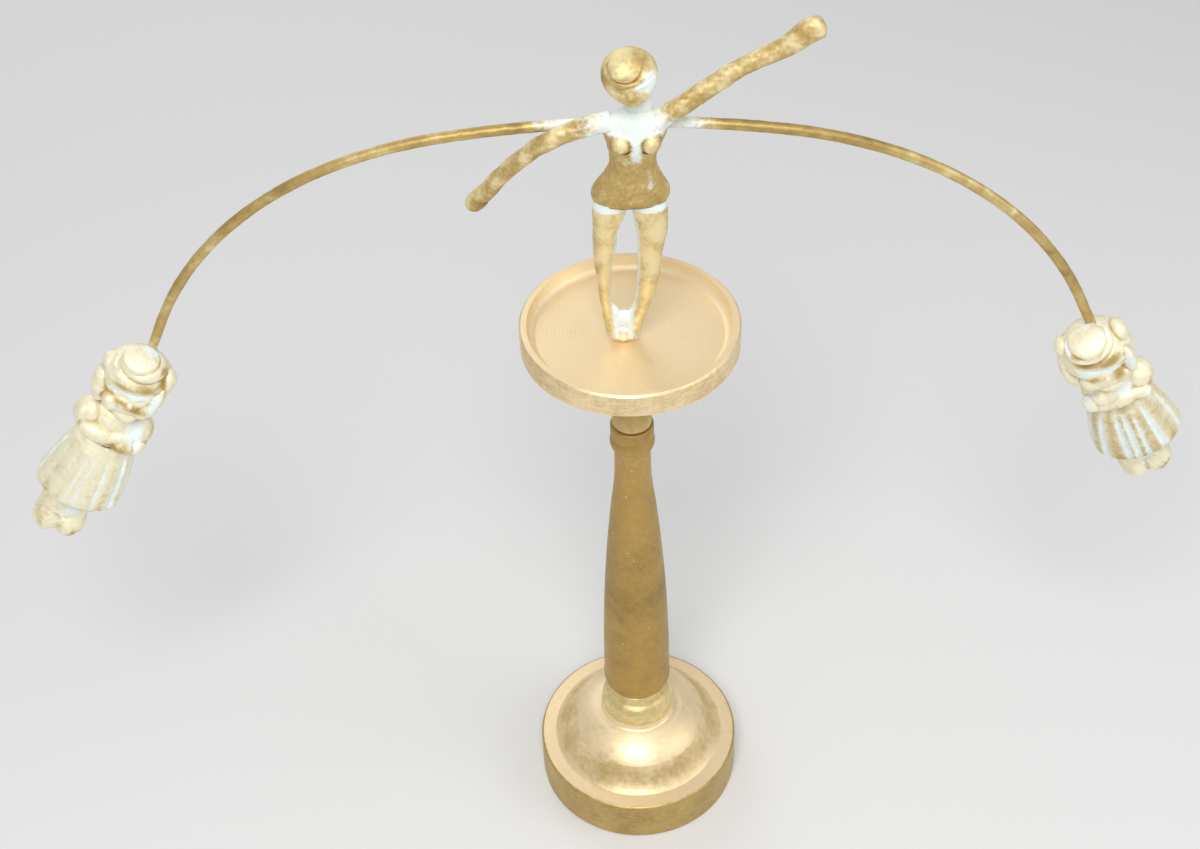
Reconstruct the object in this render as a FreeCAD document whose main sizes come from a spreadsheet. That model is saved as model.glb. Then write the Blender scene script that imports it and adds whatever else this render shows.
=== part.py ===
import FreeCAD, Part
import math
import os
import Sketcher

# A brass balancing toy. A turned stand carries a shallow dish. On the dish a
# cast figure balances on the ball of its foot, held upright by two dolls that
# hang below the pivot at the ends of a bent rod.
# Millimetres and degrees. The origin is the centre of the stand's underside,
# +Z goes up the column and +X along the rod. The viewer is at -Y.

Vector = FreeCAD.Vector
Placement = FreeCAD.Placement
Rotation = FreeCAD.Rotation

SIZES = {
    # base of the stand, turned and hollow underneath
    "base_radius": 38.6,
    "base_side": 18.5,
    "base_wall": 4.2,
    "base_edge": 1.0,
    "lip_width": 5.8,
    "crest_radius": 25.8,
    "crest_height": 28.0,
    "dome_height": 34.6,
    "cavity_roof": 5.4,
    "underside_boss_radius": 11.0,
    "underside_boss_height": 24.0,
    "felt_thickness": 1.4,
    "felt_proud": 0.2,
    "felt_border": 1.0,
    "felt_fit": 0.1,
    # collar between base and column
    "collar_radius": 13.4,
    "collar_height": 9.6,
    "neck_radius": 10.4,
    "neck_height": 4.0,
    # column
    "foot_radius": 9.4,
    "belly_radius": 12.4,
    "belly_height": 58.0,
    "waist_radius": 7.8,
    "waist_height": 150.0,
    "throat_radius": 6.15,
    "throat_height": 172.0,
    "bead_radius": 7.3,
    "bead_rise": 5.4,
    "bead_height": 10.6,
    # dish on its stem
    "dish_radius": 35.0,
    "dish_side": 8.6,
    "dish_rim": 2.4,
    "dish_recess": 4.2,
    "dish_edge": 0.6,
    "stem_radius": 6.5,
    "stem_flare": 16.0,
    "stem_height": 35.4,
    # tie rod through the stand
    "rod_radius": 3.0,
    "rod_fit": 0.1,
    "rod_grip": 26.0,
    "rod_tail": 2.4,
    "washer_radius": 8.0,
    "washer_thickness": 1.2,
    "nut_width": 10.0,
    "nut_height": 5.0,
    # where the toy stands on the dish, and how far it leans to the viewer
    "toy_aside": -2.0,
    "toy_forward": 3.5,
    "toy_lean": 3.5,
    # foot: ball, pivot pin and the brazing over the ball
    "ball_radius": 3.9,
    "floor_gap": 0.1,
    "pin_radius": 1.2,
    "pin_depth": 4.4,
    "joint_gap": 0.05,
    "braze_thickness": 0.25,
    "braze_angle": 62.0,
    # figure, measured up from the ball's centre
    "figure_offset": 2.9,
    "side_lean": 0.06,
    "front_start": 0.3,
    "front_lean": 0.16,
    "front_most": 4.6,
    "shoe_radius": 5.3,
    "shoe_drop": 1.3,
    "split_tilt": 2.4,
    "instep_height": 6.0,
    "ankle_height": 12.4,
    "left_ankle_aside": 5.1,
    "left_ankle_radius": 1.8,
    "right_ankle_aside": 6.0,
    "right_ankle_radius": 2.45,
    "calf_height": 25.7,
    "left_calf_aside": 5.5,
    "left_calf_radius": 2.5,
    "right_calf_aside": 8.2,
    "right_calf_radius": 3.5,
    "knee_height": 34.0,
    "left_knee_aside": 5.2,
    "left_knee_radius": 3.4,
    "right_knee_aside": 8.5,
    "right_knee_radius": 3.85,
    "thigh_height": 42.5,
    "left_thigh_aside": 4.6,
    "left_thigh_radius": 3.75,
    "right_thigh_aside": 9.0,
    "right_thigh_radius": 4.65,
    "leg_top_width": 5.2,
    "leg_top_spread": 5.3,
    "leg_top_depth": 4.0,
    "leg_back": 1.6,
    "hem_height": 52.6,
    "hem_width": 10.7,
    "hem_depth": 4.7,
    "hip_height": 55.4,
    "hip_width": 11.4,
    "hip_depth": 5.6,
    "loin_height": 62.4,
    "loin_width": 9.0,
    "loin_depth": 5.3,
    "middle_height": 69.5,
    "middle_width": 6.6,
    "middle_depth": 4.7,
    "chest_height": 76.5,
    "chest_width": 7.8,
    "chest_depth": 5.4,
    "shoulder_height": 82.6,
    "shoulder_width": 9.0,
    "shoulder_depth": 4.6,
    "nape_height": 87.0,
    "nape_width": 5.0,
    "nape_depth": 3.8,
    "bust_radius": 3.1,
    "bust_spread": 4.2,
    "bust_height": 78.6,
    "neck_width": 3.5,
    "head_width": 7.8,
    "head_depth": 7.3,
    "head_half": 9.0,
    "head_height": 100.6,
    "head_forward": 7.0,
    "head_tilt": 14.0,
    "hair_radius": 5.6,
    # arms
    "arm_radius": 2.7,
    "hand_radius": 3.3,
    "upper_reach": 13.4,
    "upper_height": 81.0,
    "elbow_reach": 20.5,
    "elbow_height": 77.5,
    "elbow_forward": 4.9,
    "forearm_reach": 33.0,
    "forearm_height": 61.0,
    "forearm_back": 3.0,
    "lowered_reach": 44.6,
    "lowered_height": 41.6,
    "lowered_back": 12.0,
    "raised_start": 16.9,
    "raised_start_height": 88.6,
    "raised_middle": 31.5,
    "raised_middle_height": 98.9,
    "raised_reach": 55.0,
    "raised_height": 112.6,
    "raised_forward": 3.4,
    # bent rod that carries the dolls
    "wire_radius": 1.6,
    "wire_fit": 0.05,
    "wire_shift": -1.5,
    "wire_back": -0.8,
    "wire_roll": 0.25,
    "wire_top": 80.7,
    "crown_radius": 308.0,
    "crown_angle": 9.0,
    "haunch_radius": 136.0,
    "haunch_angle": 22.7,
    "side_radius": 121.0,
    "side_angle": 64.2,
    "wire_tail": 12.0,
    "socket_depth": 8.0,
    # dolls, measured down from where the rod enters the head
    "left_doll_forward": 4.25,
    "left_doll_aside": -0.6,
    "left_doll_turn": 5.75,
    "left_doll_swing": -1.3,
    "left_doll_girth": 0.992,
    "left_doll_left_sleeve": 8.2,
    "left_doll_right_sleeve": 7.6,
    "right_doll_forward": 2.8,
    "right_doll_aside": -2.1,
    "right_doll_turn": -1.3,
    "right_doll_swing": 11.9,
    "right_doll_girth": 1.026,
    "right_doll_left_sleeve": 4.9,
    "right_doll_right_sleeve": 7.8,
    "skull_width": 10.4,
    "skull_depth": 9.6,
    "skull_half": 10.6,
    "fringe_drop": 10.4,
    "face_radius": 8.3,
    "face_drop": 17.2,
    "topknot_radius": 7.4,
    "topknot_tilt": 30.0,
    "left_lock_spread": 9.2,
    "right_lock_spread": 7.4,
    "lock_width": 3.4,
    "lock_half": 7.8,
    "throat_drop": 25.4,
    "doll_neck": 4.6,
    "sleeve_radius": 5.5,
    "sleeve_drop": 33.0,
    "forearm_radius": 3.2,
    "forearm_half": 7.4,
    "sash_drop": 40.8,
    "sash_width": 8.6,
    "sash_depth": 7.0,
    "flounce_drop": 56.0,
    "flounce_width": 12.6,
    "flounce_depth": 9.8,
    "skirt_drop": 69.6,
    "skirt_width": 14.6,
    "skirt_depth": 11.4,
    "skirt_aside": -0.6,
    "pleat_count": 12,
    "pleat_depth": 1.0,
    "shoe_width": 4.9,
    "shoe_depth": 6.4,
    "shoe_half": 12.0,
    "shoe_spread": 4.0,
    "shoe_aside": -2.0,
    "doll_length": 93.0,
}

doc = FreeCAD.newDocument("balancing_toy")
sheet = doc.addObject("Spreadsheet::Sheet", "sizes")
for row, (name, number) in enumerate(SIZES.items(), 1):
    sheet.set("A%d" % row, name)
    sheet.set("B%d" % row, str(number))
    sheet.setAlias("B%d" % row, name)
doc.recompute()


class Size:
    """A value together with the expression that gives it in the document."""

    def __init__(self, value, text=None):
        self.value = float(value)
        self.text = text or repr(self.value)

    def __add__(self, other):
        other = size(other)
        return Size(self.value + other.value, "(%s + %s)" % (self.text, other.text))

    def __sub__(self, other):
        other = size(other)
        return Size(self.value - other.value, "(%s - %s)" % (self.text, other.text))

    def __mul__(self, other):
        other = size(other)
        return Size(self.value * other.value, "(%s * %s)" % (self.text, other.text))

    def __truediv__(self, other):
        other = size(other)
        return Size(self.value / other.value, "(%s / %s)" % (self.text, other.text))

    def __radd__(self, other):
        return size(other) + self

    def __rsub__(self, other):
        return size(other) - self

    def __rmul__(self, other):
        return size(other) * self

    def __neg__(self):
        return Size(-self.value, "(-%s)" % self.text)

    def __float__(self):
        return self.value


def size(number):
    return number if isinstance(number, Size) else Size(number)


def sine(angle):
    angle = size(angle)
    return Size(math.sin(math.radians(angle.value)), "sin(%s)" % angle.text)


def cosine(angle):
    angle = size(angle)
    return Size(math.cos(math.radians(angle.value)), "cos(%s)" % angle.text)


def span(start, end):
    """The distance between two corners of an outline."""
    wide = size(end[0]) - start[0]
    high = size(end[1]) - start[1]
    text = "sqrt(%s * %s + %s * %s)" % (wide.text, wide.text, high.text, high.text)
    return Size(math.hypot(wide.value, high.value), text)


class Sheet:
    """The sheet's cells by their aliases."""

    def __getattr__(self, name):
        return Size(sheet.get(name), "sizes." + name)


s = Sheet()


def bind(item, **properties):
    for name, value in properties.items():
        item.setExpression(name.replace("__", "."), size(value).text)


def vector(point):
    return Vector(*[float(value) for value in point])


def place(item, point, rotation=Rotation()):
    """Puts an item at a point whose coordinates stay bound to the sheet."""
    item.Placement = Placement(vector(point), rotation)
    bind(item, Placement__Base__x=point[0], Placement__Base__y=point[1], Placement__Base__z=point[2])


# Sketches and the features made from them

def new_body(label):
    body = doc.addObject("PartDesign::Body", label)
    body.Label = label
    return body


def new_sketch(body, role, name):
    sketch = body.newObject("Sketcher::SketchObject", name)
    plane = [item for item in body.Origin.OriginFeatures if item.Role == role][0]
    sketch.AttachmentSupport = [(plane, "")]
    sketch.MapMode = "FlatFace"
    return sketch


def fix(sketch, kind, value, *where):
    index = sketch.addConstraint(Sketcher.Constraint(kind, *where, float(value)))
    if size(value).text != repr(float(value)):
        sketch.setExpression("Constraints[%d]" % index, size(value).text)


def arc_between(start, end, radius):
    """The short arc from start to end, turning left; below zero it turns right."""
    first, last = (start, end) if radius > 0 else (end, start)
    half = (last - first) * 0.5
    left = Vector(-half.y, half.x, 0).normalize()
    centre = first + half + left * math.sqrt(radius * radius - half.Length ** 2)
    angles = [math.atan2(point.y - centre.y, point.x - centre.x) for point in (first, last)]
    if angles[1] < angles[0]:
        angles[1] += 2 * math.pi
    return Part.ArcOfCircle(Part.Circle(centre, Vector(0, 0, 1), abs(radius)), *angles)


def draw(sketch, corners, arcs, closed=True):
    """Lines and arcs through the corners; arcs gives the radius of a side by the side's number."""
    sides = len(corners) if closed else len(corners) - 1
    ends = []
    for side in range(sides):
        start = Vector(float(corners[side][0]), float(corners[side][1]), 0)
        end = corners[(side + 1) % len(corners)]
        end = Vector(float(end[0]), float(end[1]), 0)
        if side in arcs:
            radius = size(arcs[side])
            sketch.addGeometry(arc_between(start, end, radius.value), False)
            fix(sketch, "Radius", radius if radius.value > 0 else -radius, side)
            ends.append((1, 2) if radius.value > 0 else (2, 1))
        else:
            sketch.addGeometry(Part.LineSegment(start, end), False)
            ends.append((1, 2))
    for side in range(sides):
        fix(sketch, "DistanceX", corners[side][0], -1, 1, side, ends[side][0])
        fix(sketch, "DistanceY", corners[side][1], -1, 1, side, ends[side][0])
        if closed or side > 0:
            before = (side - 1) % sides
            sketch.addConstraint(
                Sketcher.Constraint("Coincident", before, ends[before][1], side, ends[side][0])
            )
    if not closed:
        last = sides - 1
        fix(sketch, "DistanceX", corners[-1][0], -1, 1, last, ends[last][1])
        fix(sketch, "DistanceY", corners[-1][1], -1, 1, last, ends[last][1])


def turned(label, corners, arcs):
    """A turned piece: its outline in the plane of radius and height, spun round Z."""
    body = new_body(label)
    sketch = new_sketch(body, "XZ_Plane", label + "_outline")
    draw(sketch, corners, arcs)
    spin = body.newObject("PartDesign::Revolution", label + "_spin")
    spin.Profile = sketch
    spin.ReferenceAxis = (sketch, ["V_Axis"])
    spin.Angle = 360
    return body


def oval(body, name, point, direction, width, depth):
    """An oval section across direction: width is its half size along X, depth the other."""
    width = size(width)
    depth = size(depth)
    sketch = new_sketch(body, "XY_Plane", name)
    along = Rotation(Vector(1, 0, 0), Vector(0, 0, 0), direction, "ZXY")
    sketch.AttachmentOffset = Placement(vector(point), along)
    for letter, value in zip("xyz", point):
        sketch.setExpression("AttachmentOffset.Base." + letter, size(value).text)
    wide = width.value >= depth.value
    major, minor = (width, depth) if wide else (depth, width)
    tips = [Vector(width.value, 0, 0), Vector(0, depth.value, 0)]
    if not wide:
        tips = [tips[1], Vector(-width.value, 0, 0)]
    sketch.addGeometry(Part.Ellipse(tips[0], tips[1], Vector(0, 0, 0)), False)
    sketch.exposeInternalGeometry(0)
    sketch.addConstraint(Sketcher.Constraint("Coincident", 0, 3, -1, 1))
    sketch.addConstraint(Sketcher.Constraint("Horizontal" if wide else "Vertical", 1))
    fix(sketch, "Distance", 2 * major, 1)
    fix(sketch, "Distance", 2 * minor, 2)
    return sketch


def lofted(body, sections):
    loft = body.newObject("PartDesign::AdditiveLoft", body.Name + "_loft")
    loft.Profile = sections[0]
    loft.Sections = sections[1:]
    return body


def limb(label, stations):
    """A cast limb: round sections square to the line through their centres."""
    body = new_body(label)
    points = [vector(point) for point, radius in stations]
    sections = []
    for index, (point, radius) in enumerate(stations):
        ahead = points[min(index + 1, len(points) - 1)] - points[max(index - 1, 0)]
        sections.append(oval(body, "%s_%d" % (label, index), point, ahead, radius, radius))
    return lofted(body, sections)


# Primitives and booleans

def ellipsoid(name, centre, half_x, half_y, half_z, rotation=Rotation()):
    item = doc.addObject("Part::Ellipsoid", name)
    bind(item, Radius1=half_z, Radius2=half_x, Radius3=half_y)
    place(item, centre, rotation)
    return item


def ball(name, centre, radius):
    item = doc.addObject("Part::Sphere", name)
    bind(item, Radius=radius)
    place(item, centre)
    return item


def rod(name, start, radius, length, direction=Vector(0, 0, 1)):
    item = doc.addObject("Part::Cylinder", name)
    bind(item, Radius=radius, Height=length)
    place(item, start, Rotation(Vector(0, 0, 1), direction))
    return item


def slab(name, low, high, half=60.0):
    """The space between two heights."""
    item = doc.addObject("Part::Box", name)
    bind(item, Length=2 * size(half), Width=2 * size(half), Height=size(high) - low)
    place(item, (-size(half), -size(half), low))
    return item


def fuse(label, shapes):
    item = doc.addObject("Part::MultiFuse", label)
    item.Label = label
    item.Shapes = shapes
    return item


def cut(label, base, tool):
    item = doc.addObject("Part::Cut", label)
    item.Label = label
    item.Base = base
    item.Tool = tool
    return item


def common(label, base, tool):
    item = doc.addObject("Part::Common", label)
    item.Label = label
    item.Base = base
    item.Tool = tool
    return item


PIECES = []


def piece(item, placement=Placement()):
    item.Placement = placement
    PIECES.append(item)
    return item


# Stand

bore = s.rod_radius + s.rod_fit
collar_seat = s.dome_height + 1.6
column_foot = collar_seat + s.collar_height + s.neck_height
bead_foot = s.throat_height + s.bead_rise
column_top = bead_foot + s.bead_height
dish_under = column_top + s.stem_height
dish_top = dish_under + s.dish_side
dish_floor = dish_top - s.dish_recess


def make_base():
    inner = s.base_radius - s.base_wall
    corners = [
        (inner, s.felt_thickness),
        (s.base_radius - s.felt_border, s.felt_thickness),
        (s.base_radius - s.felt_border, s.felt_proud),
        (s.base_radius, s.felt_proud),
        (s.base_radius, s.base_side - s.base_edge),
        (s.base_radius - s.base_edge, s.base_side),
        (s.base_radius - s.lip_width, s.base_side + 0.4),
        (s.crest_radius, s.crest_height),
        (s.collar_radius + 2, s.dome_height),
        (s.collar_radius, collar_seat),
        (bore, collar_seat),
        (bore, s.underside_boss_height),
        (s.underside_boss_radius, s.underside_boss_height),
        (s.underside_boss_radius, s.dome_height - s.cavity_roof),
        (s.crest_radius - 8, s.dome_height - s.cavity_roof),
        (inner, s.base_side - s.cavity_roof),
    ]
    flank = 1.9 * span(corners[6], corners[7])
    dome = 2.1 * span(corners[7], corners[8])
    piece(turned("base", corners, {4: s.base_edge, 6: -flank, 7: dome, 8: -2.2}))
    corners = [
        (0, 0),
        (s.base_radius - s.felt_border - s.felt_fit, 0),
        (s.base_radius - s.felt_border - s.felt_fit, s.felt_thickness),
        (0, s.felt_thickness),
    ]
    piece(turned("base_felt", corners, {}))


def make_collar():
    top = collar_seat + s.collar_height
    corners = [
        (bore, collar_seat),
        (s.collar_radius - 0.4, collar_seat),
        (s.collar_radius - 1.2, top - 1.2),
        (s.neck_radius + 0.3, top),
        (s.neck_radius, top + 0.6),
        (s.neck_radius, column_foot - 0.9),
        (s.neck_radius - 0.9, column_foot),
        (bore, column_foot),
    ]
    side = span(corners[1], corners[2])
    piece(turned("base_collar", corners, {1: side, 2: 4.0, 5: 1.2}))


def make_column():
    middle = bead_foot + s.bead_height / 2
    corners = [
        (bore, column_foot),
        (s.foot_radius, column_foot),
        (s.belly_radius, s.belly_height),
        (s.waist_radius, s.waist_height),
        (s.throat_radius, s.throat_height),
        (s.throat_radius, bead_foot - 0.8),
        (s.throat_radius + 0.5, bead_foot),
        (s.bead_radius - 0.35, middle),
        (s.bead_radius, middle + 0.35),
        (s.bead_radius, column_top - 0.5),
        (s.bead_radius - 0.5, column_top),
        (bore, column_top),
    ]
    belly = 0.86 * span(corners[1], corners[2])
    shaft = 9.8 * span(corners[2], corners[3])
    waist = 7.25 * span(corners[3], corners[4])
    bead = 0.87 * span(corners[6], corners[7])
    piece(turned("column", corners, {1: belly, 2: shaft, 3: -waist, 6: bead, 9: 0.7}))


def make_dish():
    """The dish and its stem, turned in one piece with a blind hole for the tie rod."""
    grip_end = column_top + s.rod_grip
    inner = s.dish_radius - s.dish_rim
    corners = [
        (bore, column_top),
        (s.stem_radius - 0.7, column_top),
        (s.stem_radius, column_top + 0.7),
        (s.stem_radius, column_top + 5),
        (s.stem_flare - 4, dish_under - 4),
        (s.stem_flare, dish_under),
        (s.dish_radius - s.dish_edge, dish_under),
        (s.dish_radius, dish_under + s.dish_edge),
        (s.dish_radius, dish_top - s.dish_edge),
        (s.dish_radius - s.dish_edge, dish_top),
        (inner, dish_top),
        (inner - 0.8, dish_floor + 1.6),
        (inner - 2.6, dish_floor),
        (0, dish_floor),
        (0, grip_end),
        (bore, grip_end),
    ]
    flare = 1.63 * span(corners[3], corners[4])
    piece(turned("dish", corners, {3: -flare, 4: -4.6, 11: -2.6}))


def make_tie_rod():
    """The rod that pulls the stand together, with its washer and nut in the base."""
    washer_low = s.underside_boss_height - s.washer_thickness
    nut_low = washer_low - s.nut_height
    rod_low = nut_low - s.rod_tail
    rod_high = column_top + s.rod_grip
    bevel = 0.6
    corners = [
        (0, rod_low),
        (s.rod_radius - bevel, rod_low),
        (s.rod_radius, rod_low + bevel),
        (s.rod_radius, rod_high - bevel),
        (s.rod_radius - bevel, rod_high),
        (0, rod_high),
    ]
    piece(turned("tie_rod", corners, {}))
    corners = [
        (bore, washer_low),
        (s.washer_radius, washer_low),
        (s.washer_radius, s.underside_boss_height),
        (bore, s.underside_boss_height),
    ]
    piece(turned("rod_washer", corners, {}))
    blank = doc.addObject("Part::Prism", "nut_blank")
    blank.Polygon = 6
    bind(blank, Circumradius=s.nut_width / 2 / cosine(30), Height=s.nut_height)
    place(blank, (0, 0, nut_low))
    hole = rod("nut_hole", (0, 0, nut_low - 1), bore, s.nut_height + 2)
    piece(cut("rod_nut", blank, hole))


# Toy: everything from here on is drawn round the centre of the ball

ball_height = dish_floor + s.floor_gap + s.ball_radius
toy = Placement(
    vector((s.toy_aside, -s.toy_forward, ball_height)),
    Rotation(Vector(1, 0, 0), float(s.toy_lean)),
)


def make_foot():
    """The ball of the foot, the steel pin it turns on and the brazing over it."""
    upright = Placement(toy.Base, Rotation())
    pin_top = s.pin_depth - s.ball_radius
    blank = rod("pin_blank", (0, 0, -s.ball_radius - 1), s.pin_radius, s.pin_depth + 1)
    whole = ball("pin_end", (0, 0, 0), s.ball_radius)
    piece(common("pivot_pin", blank, whole), upright)
    whole = ball("whole_ball", (0, 0, 0), s.ball_radius)
    hole = rod(
        "pin_hole",
        (0, 0, -s.ball_radius - 1),
        s.pin_radius + s.joint_gap,
        pin_top + s.ball_radius + 1 + s.joint_gap,
    )
    piece(cut("foot_ball", whole, hole), upright)
    inner = s.ball_radius + s.joint_gap
    outer = inner + s.braze_thickness
    corners = [
        (0, inner),
        (0, outer),
        (outer * sine(s.braze_angle), outer * cosine(s.braze_angle)),
        (inner * sine(s.braze_angle), inner * cosine(s.braze_angle)),
    ]
    piece(turned("ankle_braze", corners, {1: -outer, 3: inner}), upright)


def middle_x(height):
    """The figure stands a little to the right of the ball and leans with its height."""
    return s.figure_offset + s.side_lean * (height - s.hip_height)


def middle_y(height):
    """From the hips up the figure leans to the viewer, as far as front_most."""
    lean = s.front_start + s.front_lean * (height - s.hem_height)
    return -(lean if lean.value < s.front_most.value else s.front_most)


def make_leg(label, side, ankle, calf, knee, thigh):
    """One leg, side being -1 on the viewer's left; the two meet round the ball.

    ankle, calf, knee and thigh are pairs: how far aside of the ball, and the radius.
    """
    body = new_body(label + "_cast")
    up = Vector(0, 0, 1)
    shoe = s.shoe_radius / 2
    back = s.leg_back
    top = s.figure_offset - 0.4 + side * s.leg_top_spread
    levels = [
        (-s.shoe_drop, side * shoe, 0, shoe + 0.2, s.shoe_radius - 1.2),
        (s.instep_height, side * (shoe + 0.4), 0, shoe + 0.7, s.shoe_radius - 1.4),
        (s.ankle_height, side * ankle[0], -0.4, ankle[1], ankle[1] + 0.7),
        (s.calf_height, side * calf[0], 0.2 - back / 2, calf[1], calf[1] + 0.4),
        (s.knee_height, side * knee[0], 0.4 - back / 2, knee[1], knee[1] + 0.2),
        (s.thigh_height, side * thigh[0], 0.6 - back, thigh[1], thigh[1] - 0.2),
        (s.hem_height, top, -s.front_start, s.leg_top_width, s.leg_top_depth),
    ]
    sections = []
    for index, (height, aside, ahead, width, depth) in enumerate(levels):
        point = (aside, ahead, height)
        sections.append(oval(body, "%s_level_%d" % (label, index), point, up, width, depth))
    lofted(body, sections)
    half = doc.addObject("Part::Box", label + "_half")
    bind(half, Length=30, Width=60, Height=s.hem_height + 40)
    turn = Rotation(Vector(0, 1, 0), float(s.split_tilt))
    corner = turn.multVec(Vector(0 if side > 0 else -30, -30, -20))
    half.Placement = Placement(corner, turn)
    half.setExpression("Placement.Rotation.Angle", (s.split_tilt * Size(1, "1 deg")).text)
    seat = ball(label + "_seat", (0, 0, 0), s.ball_radius + 2 * s.joint_gap + s.braze_thickness)
    piece(cut(label, common(label + "_half_cast", body, half), seat), toy)


def wire_frame():
    """Where the bent rod's own upright line stands in the toy."""
    return Placement(
        vector((s.wire_shift, s.wire_back, 0)), Rotation(Vector(0, 1, 0), -float(s.wire_roll))
    )


def make_torso():
    """The torso, with a channel across the shoulders that the bent rod lies in."""
    body = new_body("torso_loft")
    levels = [
        (s.hem_height, s.hem_width, s.hem_depth),
        (s.hip_height, s.hip_width, s.hip_depth),
        (s.loin_height, s.loin_width, s.loin_depth),
        (s.middle_height, s.middle_width, s.middle_depth),
        (s.chest_height, s.chest_width, s.chest_depth),
        (s.shoulder_height, s.shoulder_width, s.shoulder_depth),
        (s.nape_height, s.nape_width, s.nape_depth),
    ]
    sections = []
    for index, (height, width, depth) in enumerate(levels):
        point = (middle_x(height), middle_y(height), height)
        sections.append(oval(body, "torso_level_%d" % index, point, Vector(0, 0, 1), width, depth))
    lofted(body, sections)
    shapes = [body]
    for side in (-1, 1):
        centre = (
            middle_x(s.bust_height) + side * s.bust_spread,
            middle_y(s.bust_height) - s.chest_depth + 1.4,
            s.bust_height,
        )
        shapes.append(ball("bust_%d" % (side + 1), centre, s.bust_radius))
    cast = fuse("torso_cast", shapes)
    channel = doc.addObject("Part::Torus", "rod_channel")
    bind(channel, Radius1=s.crown_radius, Radius2=s.wire_radius + s.wire_fit)
    middle = Placement(vector((0, 0, s.wire_top - s.crown_radius)), Rotation(Vector(1, 0, 0), 90))
    channel.Placement = wire_frame() * middle
    piece(cut("torso", cast, channel), toy)
    return cast, channel


def make_head():
    """Head and neck in one casting, its hair a rounded cap over the brow."""
    tilt = Rotation(Vector(1, 0, 0), float(s.head_tilt))
    aside = middle_x(s.head_height) - 2.4
    skull = ellipsoid(
        "skull", (aside, -s.head_forward, s.head_height), s.head_width, s.head_depth, s.head_half, tilt
    )
    hair = ellipsoid(
        "hair",
        (aside - 1.2, -s.head_forward - 1.4, s.head_height + 3.2),
        s.hair_radius,
        s.hair_radius - 0.6,
        s.hair_radius - 0.6,
    )
    seat = (middle_x(s.nape_height), middle_y(s.nape_height), s.nape_height)
    top = (seat[0] + 1.2, seat[1] + 0.4, s.head_height - 4)
    neck = limb(
        "neck",
        [
            (seat, s.neck_width + 0.4),
            (tuple((a + b) / 2 for a, b in zip(seat, top)), s.neck_width - 0.2),
            (top, s.neck_width),
        ],
    )
    above = slab("above_nape", s.nape_height, s.nape_height + 60)
    piece(common("head", fuse("head_cast", [skull, hair, neck]), above), toy)


def make_arms(torso_cast, channel):
    """One arm lowered behind the rod, the other raised in front of it, both clear of its channel."""
    shoulder_x = middle_x(s.shoulder_height)
    front = middle_y(s.shoulder_height)
    radius = s.arm_radius
    lowered = [
        ((shoulder_x - s.shoulder_width + 4, front - 0.5, s.shoulder_height + 1.4), radius + 0.3),
        ((-s.upper_reach, front - 0.5, s.upper_height), radius),
        ((-s.elbow_reach, -s.elbow_forward, s.elbow_height), radius - 0.1),
        ((-s.forearm_reach, s.forearm_back, s.forearm_height), radius - 0.1),
        ((-s.lowered_reach + 3, s.lowered_back - 2.4, s.lowered_height + 4.8), s.hand_radius - 0.1),
        ((-s.lowered_reach, s.lowered_back, s.lowered_height), s.hand_radius - 1.4),
    ]
    start = (s.raised_start, front - 0.2, s.raised_start_height)
    middle = (s.raised_middle, -s.raised_forward, s.raised_middle_height)
    raised = [
        ((shoulder_x + s.shoulder_width - 4, front - 0.5, s.shoulder_height + 0.8), radius + 0.5),
        (start, radius + 0.1),
        (tuple((a + b) / 2 for a, b in zip(start, middle)), radius),
        (middle, radius - 0.1),
        ((s.raised_reach * 0.82, -s.raised_forward, s.raised_height - 6.2), radius - 0.1),
        ((s.raised_reach - 4.4, -s.raised_forward, s.raised_height - 1.6), s.hand_radius),
        ((s.raised_reach, -s.raised_forward, s.raised_height), s.hand_radius - 0.9),
    ]
    for label, stations in (("left_arm", lowered), ("right_arm", raised)):
        trimmed = cut(label + "_trimmed", limb(label + "_cast", stations), torso_cast)
        piece(cut(label, trimmed, channel), toy)


def wire_corners():
    """The right half of the rod's line in its plane: three tangent arcs and a straight tail."""
    corners = [(size(0), s.wire_top)]
    angle = size(0)
    turns = (
        (s.crown_radius, s.crown_angle),
        (s.haunch_radius, s.haunch_angle),
        (s.side_radius, s.side_angle),
    )
    for radius, after in turns:
        x, z = corners[-1]
        corners.append(
            (x + radius * (sine(after) - sine(angle)), z - radius * (cosine(angle) - cosine(after)))
        )
        angle = after
    x, z = corners[-1]
    reach = s.wire_tail + s.socket_depth
    corners.append((x + reach * cosine(angle), z - reach * sine(angle)))
    return corners


def make_wire():
    body = new_body("balance_wire")
    path = new_sketch(body, "XZ_Plane", "wire_path")
    arcs = {0: -s.crown_radius, 1: -s.haunch_radius, 2: -s.side_radius}
    draw(path, wire_corners(), arcs, closed=False)
    ring = new_sketch(body, "YZ_Plane", "wire_ring")
    middle = Vector(0, float(s.wire_top), 0)
    ring.addGeometry(Part.Circle(middle, Vector(0, 0, 1), float(s.wire_radius)), False)
    ring.addConstraint(Sketcher.Constraint("PointOnObject", 0, 3, -2))
    fix(ring, "DistanceY", s.wire_top, -1, 1, 0, 3)
    fix(ring, "Radius", s.wire_radius, 0)
    pipe = body.newObject("PartDesign::AdditivePipe", "wire_half")
    pipe.Profile = ring
    pipe.Spine = (path, ["Edge%d" % number for number in range(1, 5)])
    doc.recompute()
    mirror = body.newObject("PartDesign::Mirrored", "wire_mirror")
    mirror.Originals = [pipe]
    plane = [item for item in body.Origin.OriginFeatures if item.Role == "YZ_Plane"][0]
    mirror.MirrorPlane = (plane, [""])
    body.Tip = mirror
    piece(body, toy * wire_frame())


# Dolls: each is drawn upright, with the rod entering its head at the origin

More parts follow.
